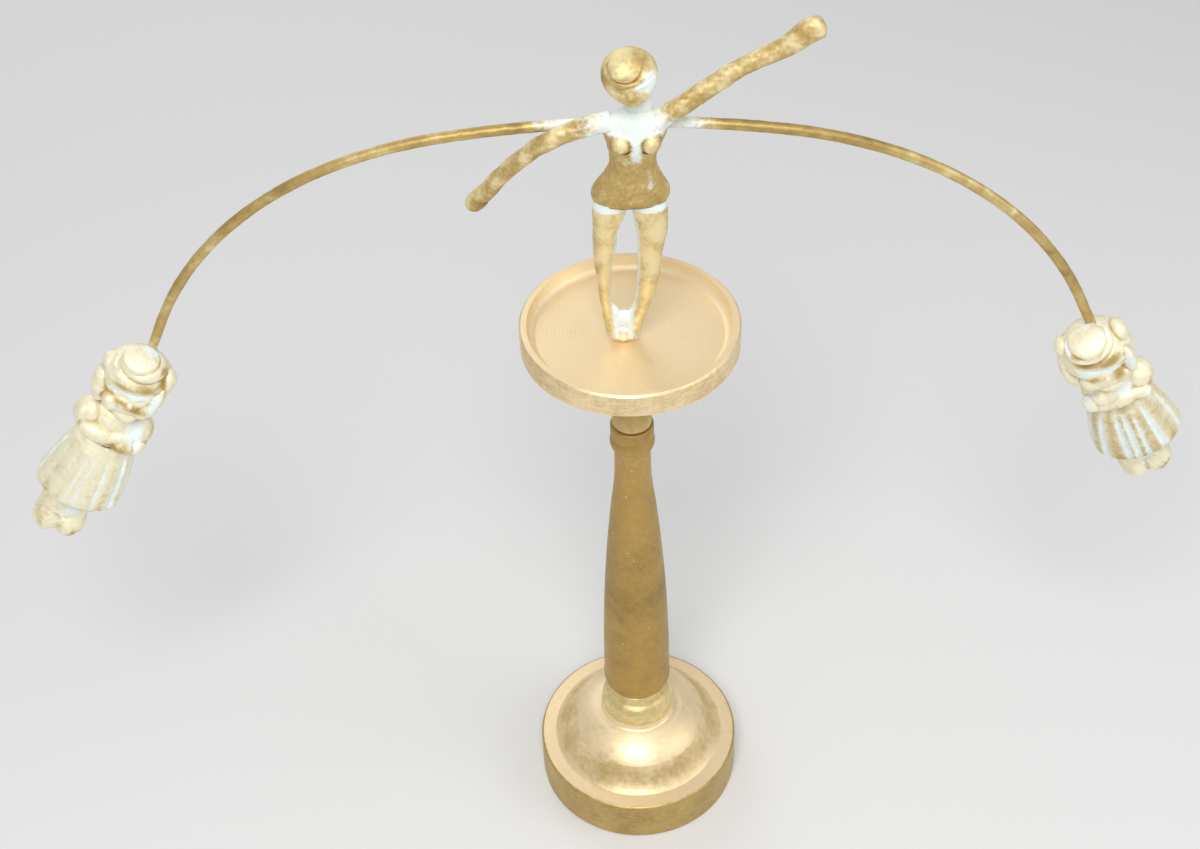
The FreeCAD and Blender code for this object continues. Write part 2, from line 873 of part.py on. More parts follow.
def doll_head(label, girth, socket):
    hair = ellipsoid(
        label + "_hair",
        (0, 0.4, -s.fringe_drop),
        girth * (s.skull_width + 1.1),
        girth * (s.skull_depth + 0.6),
        s.skull_half - 0.2,
    )
    face = ellipsoid(
        label + "_face",
        (0, -1.9, -s.face_drop),
        girth * s.face_radius,
        girth * s.face_radius,
        s.face_radius + 0.4,
    )
    topknot = ellipsoid(
        label + "_topknot",
        (-0.6, -3.6, -1.6),
        girth * s.topknot_radius,
        girth * s.topknot_radius - 0.8,
        s.topknot_radius - 4.2,
        Rotation(Vector(1, 0, 0), float(s.topknot_tilt)),
    )
    neck = rod(label + "_throat", (0, 0, -s.throat_drop - 2), s.doll_neck, s.throat_drop - s.face_drop)
    shapes = [hair, face, topknot, neck]
    for side, spread in ((-1, s.left_lock_spread), (1, s.right_lock_spread)):
        shapes.append(
            ellipsoid(
                "%s_lock_%d" % (label, side + 1),
                (side * girth * spread, -0.6, -s.face_drop),
                s.lock_width,
                s.lock_width + 1.4,
                s.lock_half,
                Rotation(Vector(0, 1, 0), side * 8),
            )
        )
    above = slab(label + "_above", -s.throat_drop, 12)
    return cut(label, common(label + "_cast", fuse(label + "_lumps", shapes), above), socket)


def doll_bust(label, girth, sleeves):
    """Puffed sleeves and folded forearms on a short trunk, flat where it meets head and skirt.

    sleeves gives how far each sleeve stands from the middle.
    """
    middle = (s.throat_drop + s.sash_drop) / 2
    shapes = [
        ellipsoid(
            label + "_trunk",
            (0, 0, -middle),
            girth * (s.sash_width + 0.6),
            girth * (s.sash_depth + 0.5),
            s.sash_drop - middle + 4,
        )
    ]
    for side, spread in zip((-1, 1), sleeves):
        shapes.append(
            ellipsoid(
                "%s_sleeve_%d" % (label, side + 1),
                (side * girth * spread, -0.6, -s.sleeve_drop),
                girth * (s.sleeve_radius - 0.2),
                girth * s.sleeve_radius,
                s.sleeve_radius + 1.4,
                Rotation(Vector(0, 1, 0), -side * 12),
            )
        )
        shapes.append(
            ellipsoid(
                "%s_forearm_%d" % (label, side + 1),
                (side * (spread - 4.2), -s.sash_depth + 0.5, -s.sleeve_drop - 2.8 - side * 0.5),
                girth * s.forearm_half,
                girth * s.forearm_radius,
                s.forearm_radius + 0.3,
                Rotation(Vector(0, 1, 0), -side * 9),
            )
        )
    between = slab(label + "_between", -s.sash_drop, -s.throat_drop)
    return common(label, fuse(label + "_lumps", shapes), between)


def doll_skirt(label, girth):
    """The pleated skirt: each section is a ring of arcs, one to a pleat, lofted down to the hem."""
    body = new_body(label)
    count = int(s.pleat_count.value)
    levels = [
        (s.sash_drop, 0, s.sash_width, s.sash_depth, 0.5),
        (s.flounce_drop, s.skirt_aside / 2, s.flounce_width, s.flounce_depth, 0.8),
        (s.skirt_drop - 1.2, s.skirt_aside, s.skirt_width, s.skirt_depth, 1.0),
        (s.skirt_drop, s.skirt_aside, s.skirt_width - 0.9, s.skirt_depth - 0.9, 0.9),
    ]
    sections = []
    for index, (drop, aside, width, depth, share) in enumerate(levels):
        sketch = new_sketch(body, "XY_Plane", "%s_level_%d" % (label, index))
        sketch.AttachmentOffset = Placement(Vector(0, 0, -drop.value), Rotation())
        sketch.setExpression("AttachmentOffset.Base.z", (-drop).text)
        groove = share * s.pleat_depth
        corners = []
        for number in range(count):
            angle = 360.0 * (number + 0.5) / count
            x = aside + (girth * width - groove) * cosine(angle)
            corners.append((x, (girth * depth - groove) * sine(angle)))
        arcs = {}
        for number in range(count):
            one, two = corners[number], corners[(number + 1) % count]
            chord = math.dist([float(value) for value in one], [float(value) for value in two])
            rise = groove.value * 1.15
            arcs[number] = (chord * chord / 4 + rise * rise) / (2 * rise)
        draw(sketch, corners, arcs)
        sections.append(sketch)
    return lofted(body, sections)


def doll_shoes(label, girth):
    """Two stubby legs in shoes, side by side under the skirt."""
    shapes = []
    half = s.shoe_half
    for side in (-1, 1):
        middle = s.doll_length - half
        shapes.append(
            ellipsoid(
                "%s_leg_%d" % (label, side + 1),
                (s.shoe_aside + side * s.shoe_spread, 0, -middle),
                girth * s.shoe_width,
                girth * s.shoe_depth,
                half,
            )
        )
        shapes.append(
            ellipsoid(
                "%s_toe_%d" % (label, side + 1),
                (s.shoe_aside + side * s.shoe_spread, -2.8, -s.doll_length + 6.6),
                girth * s.shoe_width - 0.3,
                girth * s.shoe_depth - 0.6,
                5.6,
            )
        )
    below = slab(label + "_below", -s.doll_length - 5, -s.skirt_drop)
    return common(label, fuse(label + "_lumps", shapes), below)


def make_doll(name, side, girth, sleeves, ahead, aside, turn, swing):
    """One doll, side being -1 at the viewer's left end of the rod."""
    x, z = wire_corners()[-1]
    tail = s.side_angle
    entry = vector(
        (
            side * (x - s.socket_depth * cosine(tail)),
            0,
            z + s.socket_depth * sine(tail),
        )
    )
    along = Vector(side * float(cosine(tail)), 0, -float(sine(tail)))
    slope = -side * (90 - float(tail)) + float(turn)
    rotation = Rotation(Vector(0, 1, 0), slope) * Rotation(Vector(1, 0, 0), float(swing))
    offset = Vector(float(aside), -float(ahead), 0)
    doll = toy * wire_frame() * Placement(entry + rotation.multVec(offset), rotation)
    back = rotation.inverted().multVec(along)
    start = back * -6 - offset
    socket = rod(
        name + "_socket",
        tuple(start),
        s.wire_radius + s.wire_fit,
        s.socket_depth + 6 + s.wire_fit,
        back,
    )
    piece(doll_head(name + "_head", girth, socket), doll)
    piece(doll_bust(name + "_bust", girth, sleeves), doll)
    piece(doll_skirt(name + "_skirt", girth), doll)
    piece(doll_shoes(name + "_shoes", girth), doll)


make_base()
make_collar()
make_column()
make_dish()
make_tie_rod()
make_foot()
make_leg(
    "left_leg",
    -1,
    (s.left_ankle_aside, s.left_ankle_radius),
    (s.left_calf_aside, s.left_calf_radius),
    (s.left_knee_aside, s.left_knee_radius),
    (s.left_thigh_aside, s.left_thigh_radius),
)
make_leg(
    "right_leg",
    1,
    (s.right_ankle_aside, s.right_ankle_radius),
    (s.right_calf_aside, s.right_calf_radius),
    (s.right_knee_aside, s.right_knee_radius),
    (s.right_thigh_aside, s.right_thigh_radius),
)
cast, rod_channel = make_torso()
make_head()
make_arms(cast, rod_channel)
make_wire()
make_doll(
    "left_doll",
    -1,
    s.left_doll_girth,
    (s.left_doll_left_sleeve, s.left_doll_right_sleeve),
    s.left_doll_forward,
    s.left_doll_aside,
    s.left_doll_turn,
    s.left_doll_swing,
)
make_doll(
    "right_doll",
    1,
    s.right_doll_girth,
    (s.right_doll_left_sleeve, s.right_doll_right_sleeve),
    s.right_doll_forward,
    s.right_doll_aside,
    s.right_doll_turn,
    s.right_doll_swing,
)

doc.recompute()
for item in doc.Objects:
    if "Invalid" in item.State or "Error" in item.State:
        raise RuntimeError("%s failed: %s" % (item.Name, item.State))
os.makedirs("parts", exist_ok=True)
for item in PIECES:
    shape = item.Shape
    if shape.isNull() or not shape.isValid() or not shape.Solids:
        raise RuntimeError(item.Label + " has no valid solid")
    shape.exportStep("parts/%s.step" % item.Label)
    print("%-18s %d solid %9.1f mm3" % (item.Label, len(shape.Solids), shape.Volume))
print("%d pieces" % len(PIECES))
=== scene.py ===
import math

import bpy
import numpy as np
from mathutils import Matrix, Vector


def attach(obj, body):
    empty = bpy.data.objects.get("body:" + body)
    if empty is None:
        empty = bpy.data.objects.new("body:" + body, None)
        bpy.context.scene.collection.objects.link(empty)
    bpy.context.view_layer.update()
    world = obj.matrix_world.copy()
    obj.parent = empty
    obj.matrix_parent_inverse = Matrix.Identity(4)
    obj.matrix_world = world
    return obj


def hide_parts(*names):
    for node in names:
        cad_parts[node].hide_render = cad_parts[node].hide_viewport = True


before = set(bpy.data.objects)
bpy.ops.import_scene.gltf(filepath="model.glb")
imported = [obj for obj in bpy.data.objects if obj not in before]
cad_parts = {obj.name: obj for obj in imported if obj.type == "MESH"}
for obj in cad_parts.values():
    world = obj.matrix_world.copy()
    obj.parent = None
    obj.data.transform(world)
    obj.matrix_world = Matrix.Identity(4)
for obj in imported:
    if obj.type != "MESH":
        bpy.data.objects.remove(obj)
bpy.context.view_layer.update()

bl_info = {
    "name": "Brass balancing toy",
    "version": (1, 0, 0),
    "blender": (4, 5, 0),
    "location": "View3D > Sidebar > Balancing toy",
    "description": "Dresses the packed balancing toy: cast figure, bent rod, dolls and worn brass",
    "category": "Object",
}

MM = 0.001


# Sizes and colours

def number(name, description, default):
    """A size whose description ends with its unit, mm or degrees."""
    return bpy.props.FloatProperty(name=name, description=description, default=default, unit="NONE")


def colour(name, description, default):
    return bpy.props.FloatVectorProperty(
        name=name, description=description, default=default, size=3, subtype="COLOR", min=0, max=1
    )


class ToySizes(bpy.types.PropertyGroup):
    pivot: bpy.props.FloatVectorProperty(
        name="Pivot", description="Centre of the foot's ball, mm", default=(-2.0, -3.5, 231.8), size=3
    )
    lean: number("Lean", "How far the toy leans to the viewer, degrees", 3.5)
    rod_radius: number("Rod radius", "Half the thickness of the bent rod, mm", 1.6)
    rod_shift: number("Rod shift", "Where the rod's middle lies beside the ball, mm", -1.5)
    rod_back: number("Rod back", "How far the rod lies behind the ball, mm", -0.8)
    rod_roll: number("Rod roll", "How far the rod's right end is raised, degrees", 0.25)
    rod_top: number("Rod top", "Height of the rod's middle above the ball, mm", 80.7)
    rod_tail: number("Rod tail", "Straight length of rod before each doll, mm", 12.0)
    socket: number("Socket", "How deep the rod goes into each doll, mm", 8.0)
    felt_radius: number("Felt radius", "Radius of the felt disc, mm", 37.5)
    felt_thickness: number("Felt thickness", "Thickness of the felt disc, mm", 1.4)


class ToyColours(bpy.types.PropertyGroup):
    # painted shade: the nearly black colour painted into creases and under overhangs, where shade falls
    painted_shade_colour: colour("Shade", "Dark line in the creases", (0.035, 0.028, 0.016))
    deep: colour("Deep brass", "Brown patina in the metal", (0.27, 0.18, 0.055))
    middle: colour("Middle brass", "Tarnished brass", (0.55, 0.39, 0.135))
    bronze: colour("Bronze tone", "Tarnish of the column", (0.52, 0.335, 0.10))
    pale: colour("Pale brass", "Worn, bright brass", (0.91, 0.76, 0.42))
    cream: colour("Cream brass", "Brass of the dolls, paled by polish left on it", (0.93, 0.87, 0.64))
    peach: colour("Peach brass", "Mottled brass of the dish floor", (0.95, 0.76, 0.47))
    residue: colour("Residue", "Pale polish left in the hollows", (0.84, 0.92, 0.91))
    steel: colour("Steel", "Bare steel", (0.42, 0.42, 0.43))
    felt: colour("Felt", "Green felt", (0.02, 0.055, 0.03))
    floor: colour("Floor", "Plain pale floor", (0.78, 0.78, 0.77))


# Frames of the moving toy

def turned(axis, degrees):
    """Rotation by degrees about X, Y or Z."""
    return np.array(Matrix.Rotation(math.radians(degrees), 3, axis))


class Place:
    """A rotation followed by a shift, in mm; Place * Place puts one inside the other."""

    def __init__(self, shift, rotation=None):
        self.shift = np.array(shift, float)
        self.rotation = np.eye(3) if rotation is None else rotation

    def __mul__(self, inner):
        return Place(self.rotation @ inner.shift + self.shift, self.rotation @ inner.rotation)

    def __call__(self, points):
        return (np.asarray(points, float) @ self.rotation.T + self.shift) * MM


def sizes():
    return bpy.context.scene.toy_sizes


def colours():
    return bpy.context.scene.toy_colours


def toy_frame():
    return Place(sizes().pivot, turned("X", sizes().lean))


def rod_frame():
    shift = (sizes().rod_shift, sizes().rod_back, 0)
    return toy_frame() * Place(shift, turned("Y", -sizes().rod_roll))


# The rod's bends on each side of its middle: radius in mm and the slope it ends at
ROD_BENDS = ((308.0, 9.0), (136.0, 22.7), (121.0, 64.2))


def half_rod(steps):
    """Points down the right half of the rod: tangent arcs, each a circle round its own centre,
    then a straight tail along the last slope."""
    x, z, slope = 0.0, sizes().rod_top, 0.0
    runs = []
    for radius, after in ROD_BENDS:
        bend = np.radians(np.linspace(slope, after, steps))
        across = x + radius * (np.sin(bend) - math.sin(bend[0]))
        high = z - radius * (math.cos(bend[0]) - np.cos(bend))
        runs.append(np.stack((across, high), -1)[:-1])
        x, z, slope = across[-1], high[-1], after
    reach = np.linspace(0, sizes().rod_tail + sizes().socket, 12)[:, None]
    down = np.array((math.cos(math.radians(slope)), -math.sin(math.radians(slope))))
    runs.append(np.array((x, z)) + reach * down)
    return np.concatenate(runs)


# side, girth, forward, aside, turn and swing of each doll
DOLLS = {
    "left": (-1, 0.992, 4.25, -0.6, 5.75, -1.3),
    "right": (1, 1.026, 2.8, -2.1, -1.3, 11.9),
}


def doll_frame(which):
    """The doll's own frame: its origin is where the rod enters the head, -z runs down the doll."""
    side, girth, ahead, aside, turn, swing = DOLLS[which]
    end = half_rod(8)[-1]
    tail = math.radians(ROD_BENDS[-1][1])
    depth = sizes().socket
    entry = np.array((side * (end[0] - depth * math.cos(tail)), 0, end[1] + depth * math.sin(tail)))
    slope = -side * (90 - ROD_BENDS[-1][1]) + turn
    rotation = turned("Y", slope) @ turned("X", swing)
    offset = rotation @ np.array((aside, -ahead, 0))
    return rod_frame() * Place(entry + offset, rotation), girth


# Surfaces

def ripple(points, wavelength, seed, waves=14):
    """Smooth noise from -1 to 1: a sum of sine waves running in seeded directions."""
    draw = np.random.default_rng(seed)
    ways = draw.normal(size=(waves, 3))
    ways /= np.linalg.norm(ways, axis=1)[:, None]
    pace = 2 * np.pi / (wavelength * draw.uniform(0.7, 1.5, waves))
    phase = draw.uniform(0, 2 * np.pi, waves)
    flat = np.asarray(points).reshape(-1, 3)
    total = np.sin(flat @ (ways * pace[:, None]).T + phase).sum(1) / math.sqrt(waves)
    return total.reshape(np.asarray(points).shape[:-1])


def blurred(field, passes):
    """The field averaged with its neighbours on the grid, round the columns and along the rows."""
    for _ in range(passes):
        field = (np.roll(field, 1, 1) + 2 * field + np.roll(field, -1, 1)) / 4
        up = np.concatenate((field[:1], field[:-1]))
        down = np.concatenate((field[1:], field[-1:]))
        field = (up + 2 * field + down) / 4
    return field


def dents(field, passes, depth):
    """How far the field lies below its blurred self, in units of depth, within -1 and 1."""
    return np.clip((blurred(field, passes) - field) / depth, -1, 1)


# What the material reads on each point, with its value where a piece says nothing: how far it lies
# in a dent, how much pale residue it has, how much painted shade darkens it, and how bright the brass is
MARKS = {"dent": 0.0, "wash": 0.0, "grime": 0.0, "tone": 0.6}


def rise(value, start, span):
    """0 up to start, then straight up to 1 over the span."""
    return np.clip((value - start) / span, 0, 1)


def bell(value, middle, half):
    """e to the minus squared distance from the middle, measured in halves."""
    return np.exp(-(((value - middle) / half) ** 2))


def spots(points, places):
    """Round spots added up. A row is centre, radii and strength; a spot is the strength times e to
    the minus squared distance from the centre, measured in the radii."""
    total = np.zeros(points.shape[:-1])
    for *row, strength in places:
        total += strength * np.exp(-(((points - np.array(row[:3])) / row[3:]) ** 2).sum(-1))
    return total


def closed_mesh(name, rows, first, last, marks):
    """A closed surface from a grid of rows by columns, the columns joined round, and two end points.

    marks are grids of numbers kept on the vertices for the material to read.
    """
    count, around = rows.shape[:2]
    points = np.concatenate((rows.reshape(-1, 3), [first], [last]))
    row, column = np.meshgrid(np.arange(count - 1), np.arange(around), indexing="ij")
    after = (column + 1) % around
    below = row + 1
    quads = np.stack((row * around + column, row * around + after,
                      below * around + after, below * around + column), -1).reshape(-1, 4)
    ring = np.arange(around)
    following = (ring + 1) % around
    base = (count - 1) * around
    starts = np.stack((following, ring, np.full(around, count * around)), -1)
    ends = np.stack((base + ring, base + following, np.full(around, count * around + 1)), -1)
    cross = np.cross(points[quads[:, 1]] - points[quads[:, 0]], points[quads[:, 3]] - points[quads[:, 0]])
    middle = points.mean(0)
    if ((points[quads[:, 0]] - middle) * cross).sum() < 0:
        quads, starts, ends = quads[:, ::-1], starts[:, ::-1], ends[:, ::-1]
    mesh = bpy.data.meshes.new(name)
    mesh.from_pydata(points, [], quads.tolist() + starts.tolist() + ends.tolist())
    mesh.update()
    mesh.polygons.foreach_set("use_smooth", np.ones(len(mesh.polygons), bool))
    for label, start in MARKS.items():
        grid = np.broadcast_to(np.asarray(marks.get(label, start), float), (count, around))
        values = np.concatenate((grid.reshape(-1), [grid[0].mean(), grid[-1].mean()]))
        mesh.attributes.new(label, "FLOAT", "POINT").data.foreach_set("value", values)
    piece = bpy.data.objects.new(name, mesh)
    bpy.context.scene.collection.objects.link(piece)
    return piece


def lobe_reach(ways, centre, lobes, soft):
    """How far the union of ellipsoids reaches from centre along each way.

    For each ellipsoid the far crossing of the ray, from the quadratic; the crossings are joined by
    the logarithm of the sum of their exponentials over soft, which rounds the creases.
    """
    reaches = []
    for lobe in lobes:
        middle, radii = np.array(lobe[0], float), np.array(lobe[1], float)
        rotation = turned(*lobe[2]) if len(lobe) > 2 else np.eye(3)
        start = ((centre - middle) @ rotation) / radii
        heading = (ways @ rotation) / radii
        a = (heading**2).sum(-1)
        b = (heading * start).sum(-1)
        inside = b * b - a * ((start**2).sum() - 1)
        reaches.append(np.where(inside > 0, (np.sqrt(np.maximum(inside, 0)) - b) / a, 0))
    reaches = np.maximum(np.array(reaches), 0)
    peak = reaches.max(0)
    return peak + soft * np.log(np.exp((reaches - peak) / soft).sum(0))


def star_piece(centre, lobes, detail, soft, shape=None, seed=1, lump=0.12):
    """A lumpy casting: from centre, each direction of a sphere's grid reaches as far as the lobes do.

    shape(points, reach) may change the reach, for grooves and hollows; marks hold its dents.
    """
    rows, around = detail
    centre = np.array(centre, float)
    polar = np.linspace(0, np.pi, rows + 2)[1:-1, None]
    turn = np.linspace(0, 2 * np.pi, around, endpoint=False)[None]
    ways = np.stack(
        (np.sin(polar) * np.cos(turn), np.sin(polar) * np.sin(turn), np.cos(polar) + 0 * turn), -1
    )
    reach = lobe_reach(ways, centre, lobes, soft)
    points = centre + ways * reach[..., None]
    if shape:
        reach = shape(points, reach)
    reach = reach + lump * ripple(points, 5.0, seed) + 0.35 * lump * ripple(points, 1.7, seed + 1)
    points = centre + ways * reach[..., None]
    ends = [centre + np.array((0, 0, side)) * reach[row].mean() for side, row in ((1, 0), (-1, -1))]
    return points, ends, {"dent": dents(reach, 10, 0.30)}


def finish_piece(name, place, points, ends, marks, material, nodes, body="figure"):
    """Makes the mesh, gives it its material, sets it on its body and hides the parts it stands for."""
    piece = closed_mesh(name, place(points), place(ends[0]), place(ends[1]), marks)
    piece.data.materials.append(material)
    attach(piece, body)
    if nodes:
        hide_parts(*nodes)
    return piece


def spline(stations, count):
    """Smooth curve through rows of numbers: a cubic between neighbours whose slopes are half the
    difference of the rows on either side."""
    rows = np.array(stations, float)
    padded = np.concatenate((2 * rows[:1] - rows[1:2], rows, 2 * rows[-1:] - rows[-2:-1]))
    where = np.linspace(0, len(rows) - 1, count)
    index = np.minimum(where.astype(int), len(rows) - 2)
    t = (where - index)[:, None]
    before, start, end, after = (padded[index + k] for k in range(4))
    return 0.5 * (
        2 * start
        + (end - before) * t
        + (2 * before - 5 * start + 4 * end - after) * t**2
        + (3 * start - before - 3 * end + after) * t**3
    )


def carried(path, widths, depths, around, up=(0, 1, 0)):
    """An oval carried along a path: at each point the oval stands square to the path, its depth
    along up. Returns the grid of ways from the path out to the surface."""
    along = np.gradient(path, axis=0)
    along /= np.linalg.norm(along, axis=1)[:, None]
    side = np.cross(along, np.array(up, float))
    side /= np.linalg.norm(side, axis=1)[:, None]
    lift = np.cross(side, along)
    turn = np.linspace(0, 2 * np.pi, around, endpoint=False)
    ways = (
        side[:, None] * (np.cos(turn)[None, :, None] * np.asarray(widths)[:, None, None])
        + lift[:, None] * (np.sin(turn)[None, :, None] * np.asarray(depths)[:, None, None])
    )
    return ways


def rounded_ends(count, share_start, share_end):
    """Scale of each section so that the ends close like a dome: a quarter ellipse at each end."""
    t = np.linspace(0, 1, count)
    scale = np.ones(count)
    for share, distance in ((share_start, t), (share_end, 1 - t)):
        if share > 0:
            near = np.clip(distance / share, 0, 1)
            scale *= np.sqrt(np.clip(1 - (1 - near) ** 2, 0, 1))
    return np.maximum(scale, 0.02)


# Materials

class Paint:
    """Builds a worn-metal material node by node."""

    def __init__(self, name):
        self.material = bpy.data.materials.new(name)
        self.material.use_nodes = True
        self.tree = self.material.node_tree
        self.shader = self.tree.nodes["Principled BSDF"]
        coordinates = self.tree.nodes.new("ShaderNodeTexCoord")
        self.place = coordinates.outputs["Object"]

    def link(self, value, socket):
        if isinstance(value, bpy.types.NodeSocket):
            self.tree.links.new(value, socket)
        else:
            socket.default_value = value

    def math(self, kind, *values):
        node = self.tree.nodes.new("ShaderNodeMath")
        node.operation = kind
        for value, socket in zip(values, node.inputs):
            self.link(value, socket)
        return node.outputs[0]

    def total(self, *terms):
        """Values times their weights, added up."""
        sum_so_far = 0.0
        for value, weight in terms:
            sum_so_far = self.math("MULTIPLY_ADD", value, weight, sum_so_far)
        return sum_so_far

    def swing(self, value, weight):
        """A noise of 0 to 1, turned to one about zero."""
        return self.math("MULTIPLY_ADD", value, weight, -weight / 2)

    def noise(self, scale, detail=4.0, roughness=0.55, distortion=0.0, stretch=(1, 1, 1), shift=0.0):
        mapping = self.tree.nodes.new("ShaderNodeMapping")
        mapping.inputs["Scale"].default_value = stretch
        mapping.inputs["Location"].default_value = (shift, shift, shift)
        self.tree.links.new(self.place, mapping.inputs["Vector"])
        node = self.tree.nodes.new("ShaderNodeTexNoise")
        node.inputs["Scale"].default_value = scale
        node.inputs["Detail"].default_value = detail
        node.inputs["Roughness"].default_value = roughness
        node.inputs["Distortion"].default_value = distortion
        self.tree.links.new(mapping.outputs[0], node.inputs["Vector"])
        return node.outputs["Fac"]

    def specks(self, scale, low, high):
        """Small round spots, one to a cell, where the cell's own random value is high."""
        node = self.tree.nodes.new("ShaderNodeTexVoronoi")
        node.inputs["Scale"].default_value = scale
        self.tree.links.new(self.place, node.inputs["Vector"])
        spot = self.ramp(node.outputs["Distance"], high, low)
        split = self.tree.nodes.new("ShaderNodeSeparateColor")
        self.tree.links.new(node.outputs["Color"], split.inputs[0])
        return self.math("MULTIPLY", spot, self.ramp(split.outputs[0], 0.80, 0.86))

    def ramp(self, value, low, high, start=0.0, end=1.0):
        node = self.tree.nodes.new("ShaderNodeMapRange")
        node.interpolation_type = "SMOOTHSTEP"
        self.link(value, node.inputs["Value"])
        for socket, number in zip(("From Min", "From Max", "To Min", "To Max"), (low, high, start, end)):
            node.inputs[socket].default_value = number
        return node.outputs[0]

    def mix(self, share, first, second):
        node = self.tree.nodes.new("ShaderNodeMix")
        node.data_type = "RGBA"
        self.link(share, node.inputs[0])
        for value, socket in ((first, node.inputs[6]), (second, node.inputs[7])):
            self.link(value if isinstance(value, bpy.types.NodeSocket) else (*value, 1.0), socket)
        return node.outputs[2]

    def mark(self, name):
        node = self.tree.nodes.new("ShaderNodeAttribute")
        node.attribute_name = name
        return node.outputs["Fac"]

    def axes(self):
        """Radius from the stand's line, and height, in metres."""
        split = self.tree.nodes.new("ShaderNodeSeparateXYZ")
        self.tree.links.new(self.place, split.inputs[0])
        x, y, z = split.outputs
        square = self.math("ADD", self.math("MULTIPLY", x, x), self.math("MULTIPLY", y, y))
        return self.math("SQRT", square), z

    def patina(self, tone, worn, best):
        """Brown where the tone is 0, the worn colour about 0.5 and the best one towards 1."""
        tones = colours()
        base = self.mix(self.ramp(tone, 0.0, 0.5), tuple(tones.deep), tuple(getattr(tones, worn)))
        return self.mix(self.ramp(tone, 0.42, 0.95), base, tuple(getattr(tones, best)))

    def bump(self, height, strength, distance, below=None):
        node = self.tree.nodes.new("ShaderNodeBump")
        node.inputs["Strength"].default_value = strength
        node.inputs["Distance"].default_value = distance
        self.tree.links.new(height, node.inputs["Height"])
        if below is not None:
            self.tree.links.new(below, node.inputs["Normal"])
        return node.outputs[0]

    def finish(self, base, metal, rough, normal, specular=0.5):
        self.link(base, self.shader.inputs["Base Color"])
        self.link(metal, self.shader.inputs["Metallic"])
        self.link(rough, self.shader.inputs["Roughness"])
        self.shader.inputs["Specular IOR Level"].default_value = specular
        self.tree.links.new(normal, self.shader.inputs["Normal"])
        return self.material


def cast_brass(name, variety=1.0, best="pale", metallic=0.62, dull=0.0):
    """Cast brass: the tone mark picks the patina, brown to pale; dents are darker; the mark of painted
    shade, for creases and the undersides of overhangs, is nearly black; and the wash mark is pale
    residue with a crumbled edge. variety is how patchy it is and dull how much rougher than the rest."""
    tones = colours()
    paint = Paint(name)
    patches = paint.noise(150, 4, 0.55)
    mottle = paint.noise(620, 5, 0.65, shift=0.3)
    grain = paint.noise(2300, 3, 0.6, shift=0.7)
    tone = paint.total(
        (paint.mark("tone"), 1.0), (paint.mark("dent"), -0.3),
        (paint.swing(patches, 0.9 * variety), 1.0), (paint.swing(mottle, 0.9 * variety), 1.0),
    )
    base = paint.patina(tone, "middle", best)
    # painted shade: nearly black where a piece marks a crease or the underside of an overhang
    grime = paint.ramp(paint.mark("grime"), 0.1, 0.9)
    base = paint.mix(paint.math("MULTIPLY", grime, 0.9), base, tuple(tones.painted_shade_colour))
    chance = paint.total(
        (paint.mark("wash"), 1.0), (paint.swing(mottle, 0.9), 1.0), (paint.swing(grain, 0.6), 1.0)
    )
    residue = paint.ramp(chance, 0.28, 0.85)
    base = paint.mix(paint.math("MULTIPLY", residue, 0.9), base, tuple(tones.residue))
    metal = paint.total((residue, -0.9 * metallic), (grime, -0.5 * metallic), (1.0, metallic))
    rough = paint.total((paint.ramp(grain, 0.3, 0.7, 0.42 + dull, 0.56 + dull), 1.0), (residue, 0.15))
    coarse = paint.bump(mottle, 0.3, 0.0004)
    return paint.finish(base, metal, rough, paint.bump(grain, 0.2, 0.00015, coarse), 0.35)


def turned_brass(name, level, best="pale", worn="middle", wall=None, rings=(),
                 speckle=0.0, shift=0.0, tool=0.25):
    """Turned brass: fine rings of the tool, mottled patina, scratches and residue in the seams.

    level is the tone of the whole piece, from 0, brown, over the worn colour to 1, the best one;
    wall is the radius beyond which the tone is painted darker, as shade on a side wall, and by how
    much; rings are (direction, place, half width, change of tone, residue) in mm, across the radius or
    up the height, and some of their changes of tone are painted shade, highlight or reflection;
    speckle is how pale its spots of residue are and tool how deep its turning marks.
    """
    paint = Paint(name)
    radius, height = paint.axes()
    patches = paint.noise(75, 5, 0.6, shift=shift)
    mottle = paint.noise(420, 6, 0.7, shift=shift + 0.4)
    grain = paint.noise(2600, 2, 0.5, shift=shift)
    scratch = paint.noise(260, 3, 0.7, 1.2, stretch=(1, 1, 9), shift=shift)
    tone = paint.total((paint.swing(patches, 0.6), 1.0), (paint.swing(mottle, 0.5), 1.0), (1.0, level))
    residue = paint.math("MULTIPLY", paint.specks(420, 0.08, 0.18), speckle)
    if wall:
        # painted shade: the side wall beyond the wall radius is painted darker, and carries the scratches
        outside = paint.ramp(radius, (wall[0] - 0.4) * MM, wall[0] * MM)
        tone = paint.total((tone, 1.0), (outside, wall[1]))
        streak = paint.math("MULTIPLY", outside, paint.swing(scratch, 0.8))
        tone = paint.total((tone, 1.0), (streak, 1.0))
    for across, place, half, change, pale in rings:
        along = radius if across == "radius" else height
        away = paint.math("ABSOLUTE", paint.math("SUBTRACT", along, place * MM))
        near = paint.ramp(away, half * MM, 0.0)
        tone = paint.total((tone, 1.0), (near, change))
        if pale:
            broken = paint.math("MULTIPLY", near, paint.ramp(mottle, 0.36, 0.52))
            residue = paint.math("MAXIMUM", residue, paint.math("MULTIPLY", broken, pale))
    base = paint.patina(tone, worn, best)
    base = paint.mix(paint.math("MULTIPLY", residue, 0.85), base, tuple(colours().residue))
    metal = paint.total((residue, -0.55), (1.0, 0.62))
    rough = paint.total((paint.ramp(mottle, 0.3, 0.7, 0.36, 0.50), 1.0), (residue, 0.2))
    wave = paint.math("SINE", paint.math("MULTIPLY", paint.math("ADD", radius, height), 15000.0))
    turned_rings = paint.bump(wave, tool, 0.00005)
    marks = paint.bump(scratch, 0.2, 0.0003, turned_rings)
    return paint.finish(base, metal, rough, paint.bump(grain, 0.15, 0.00012, marks), 0.35)


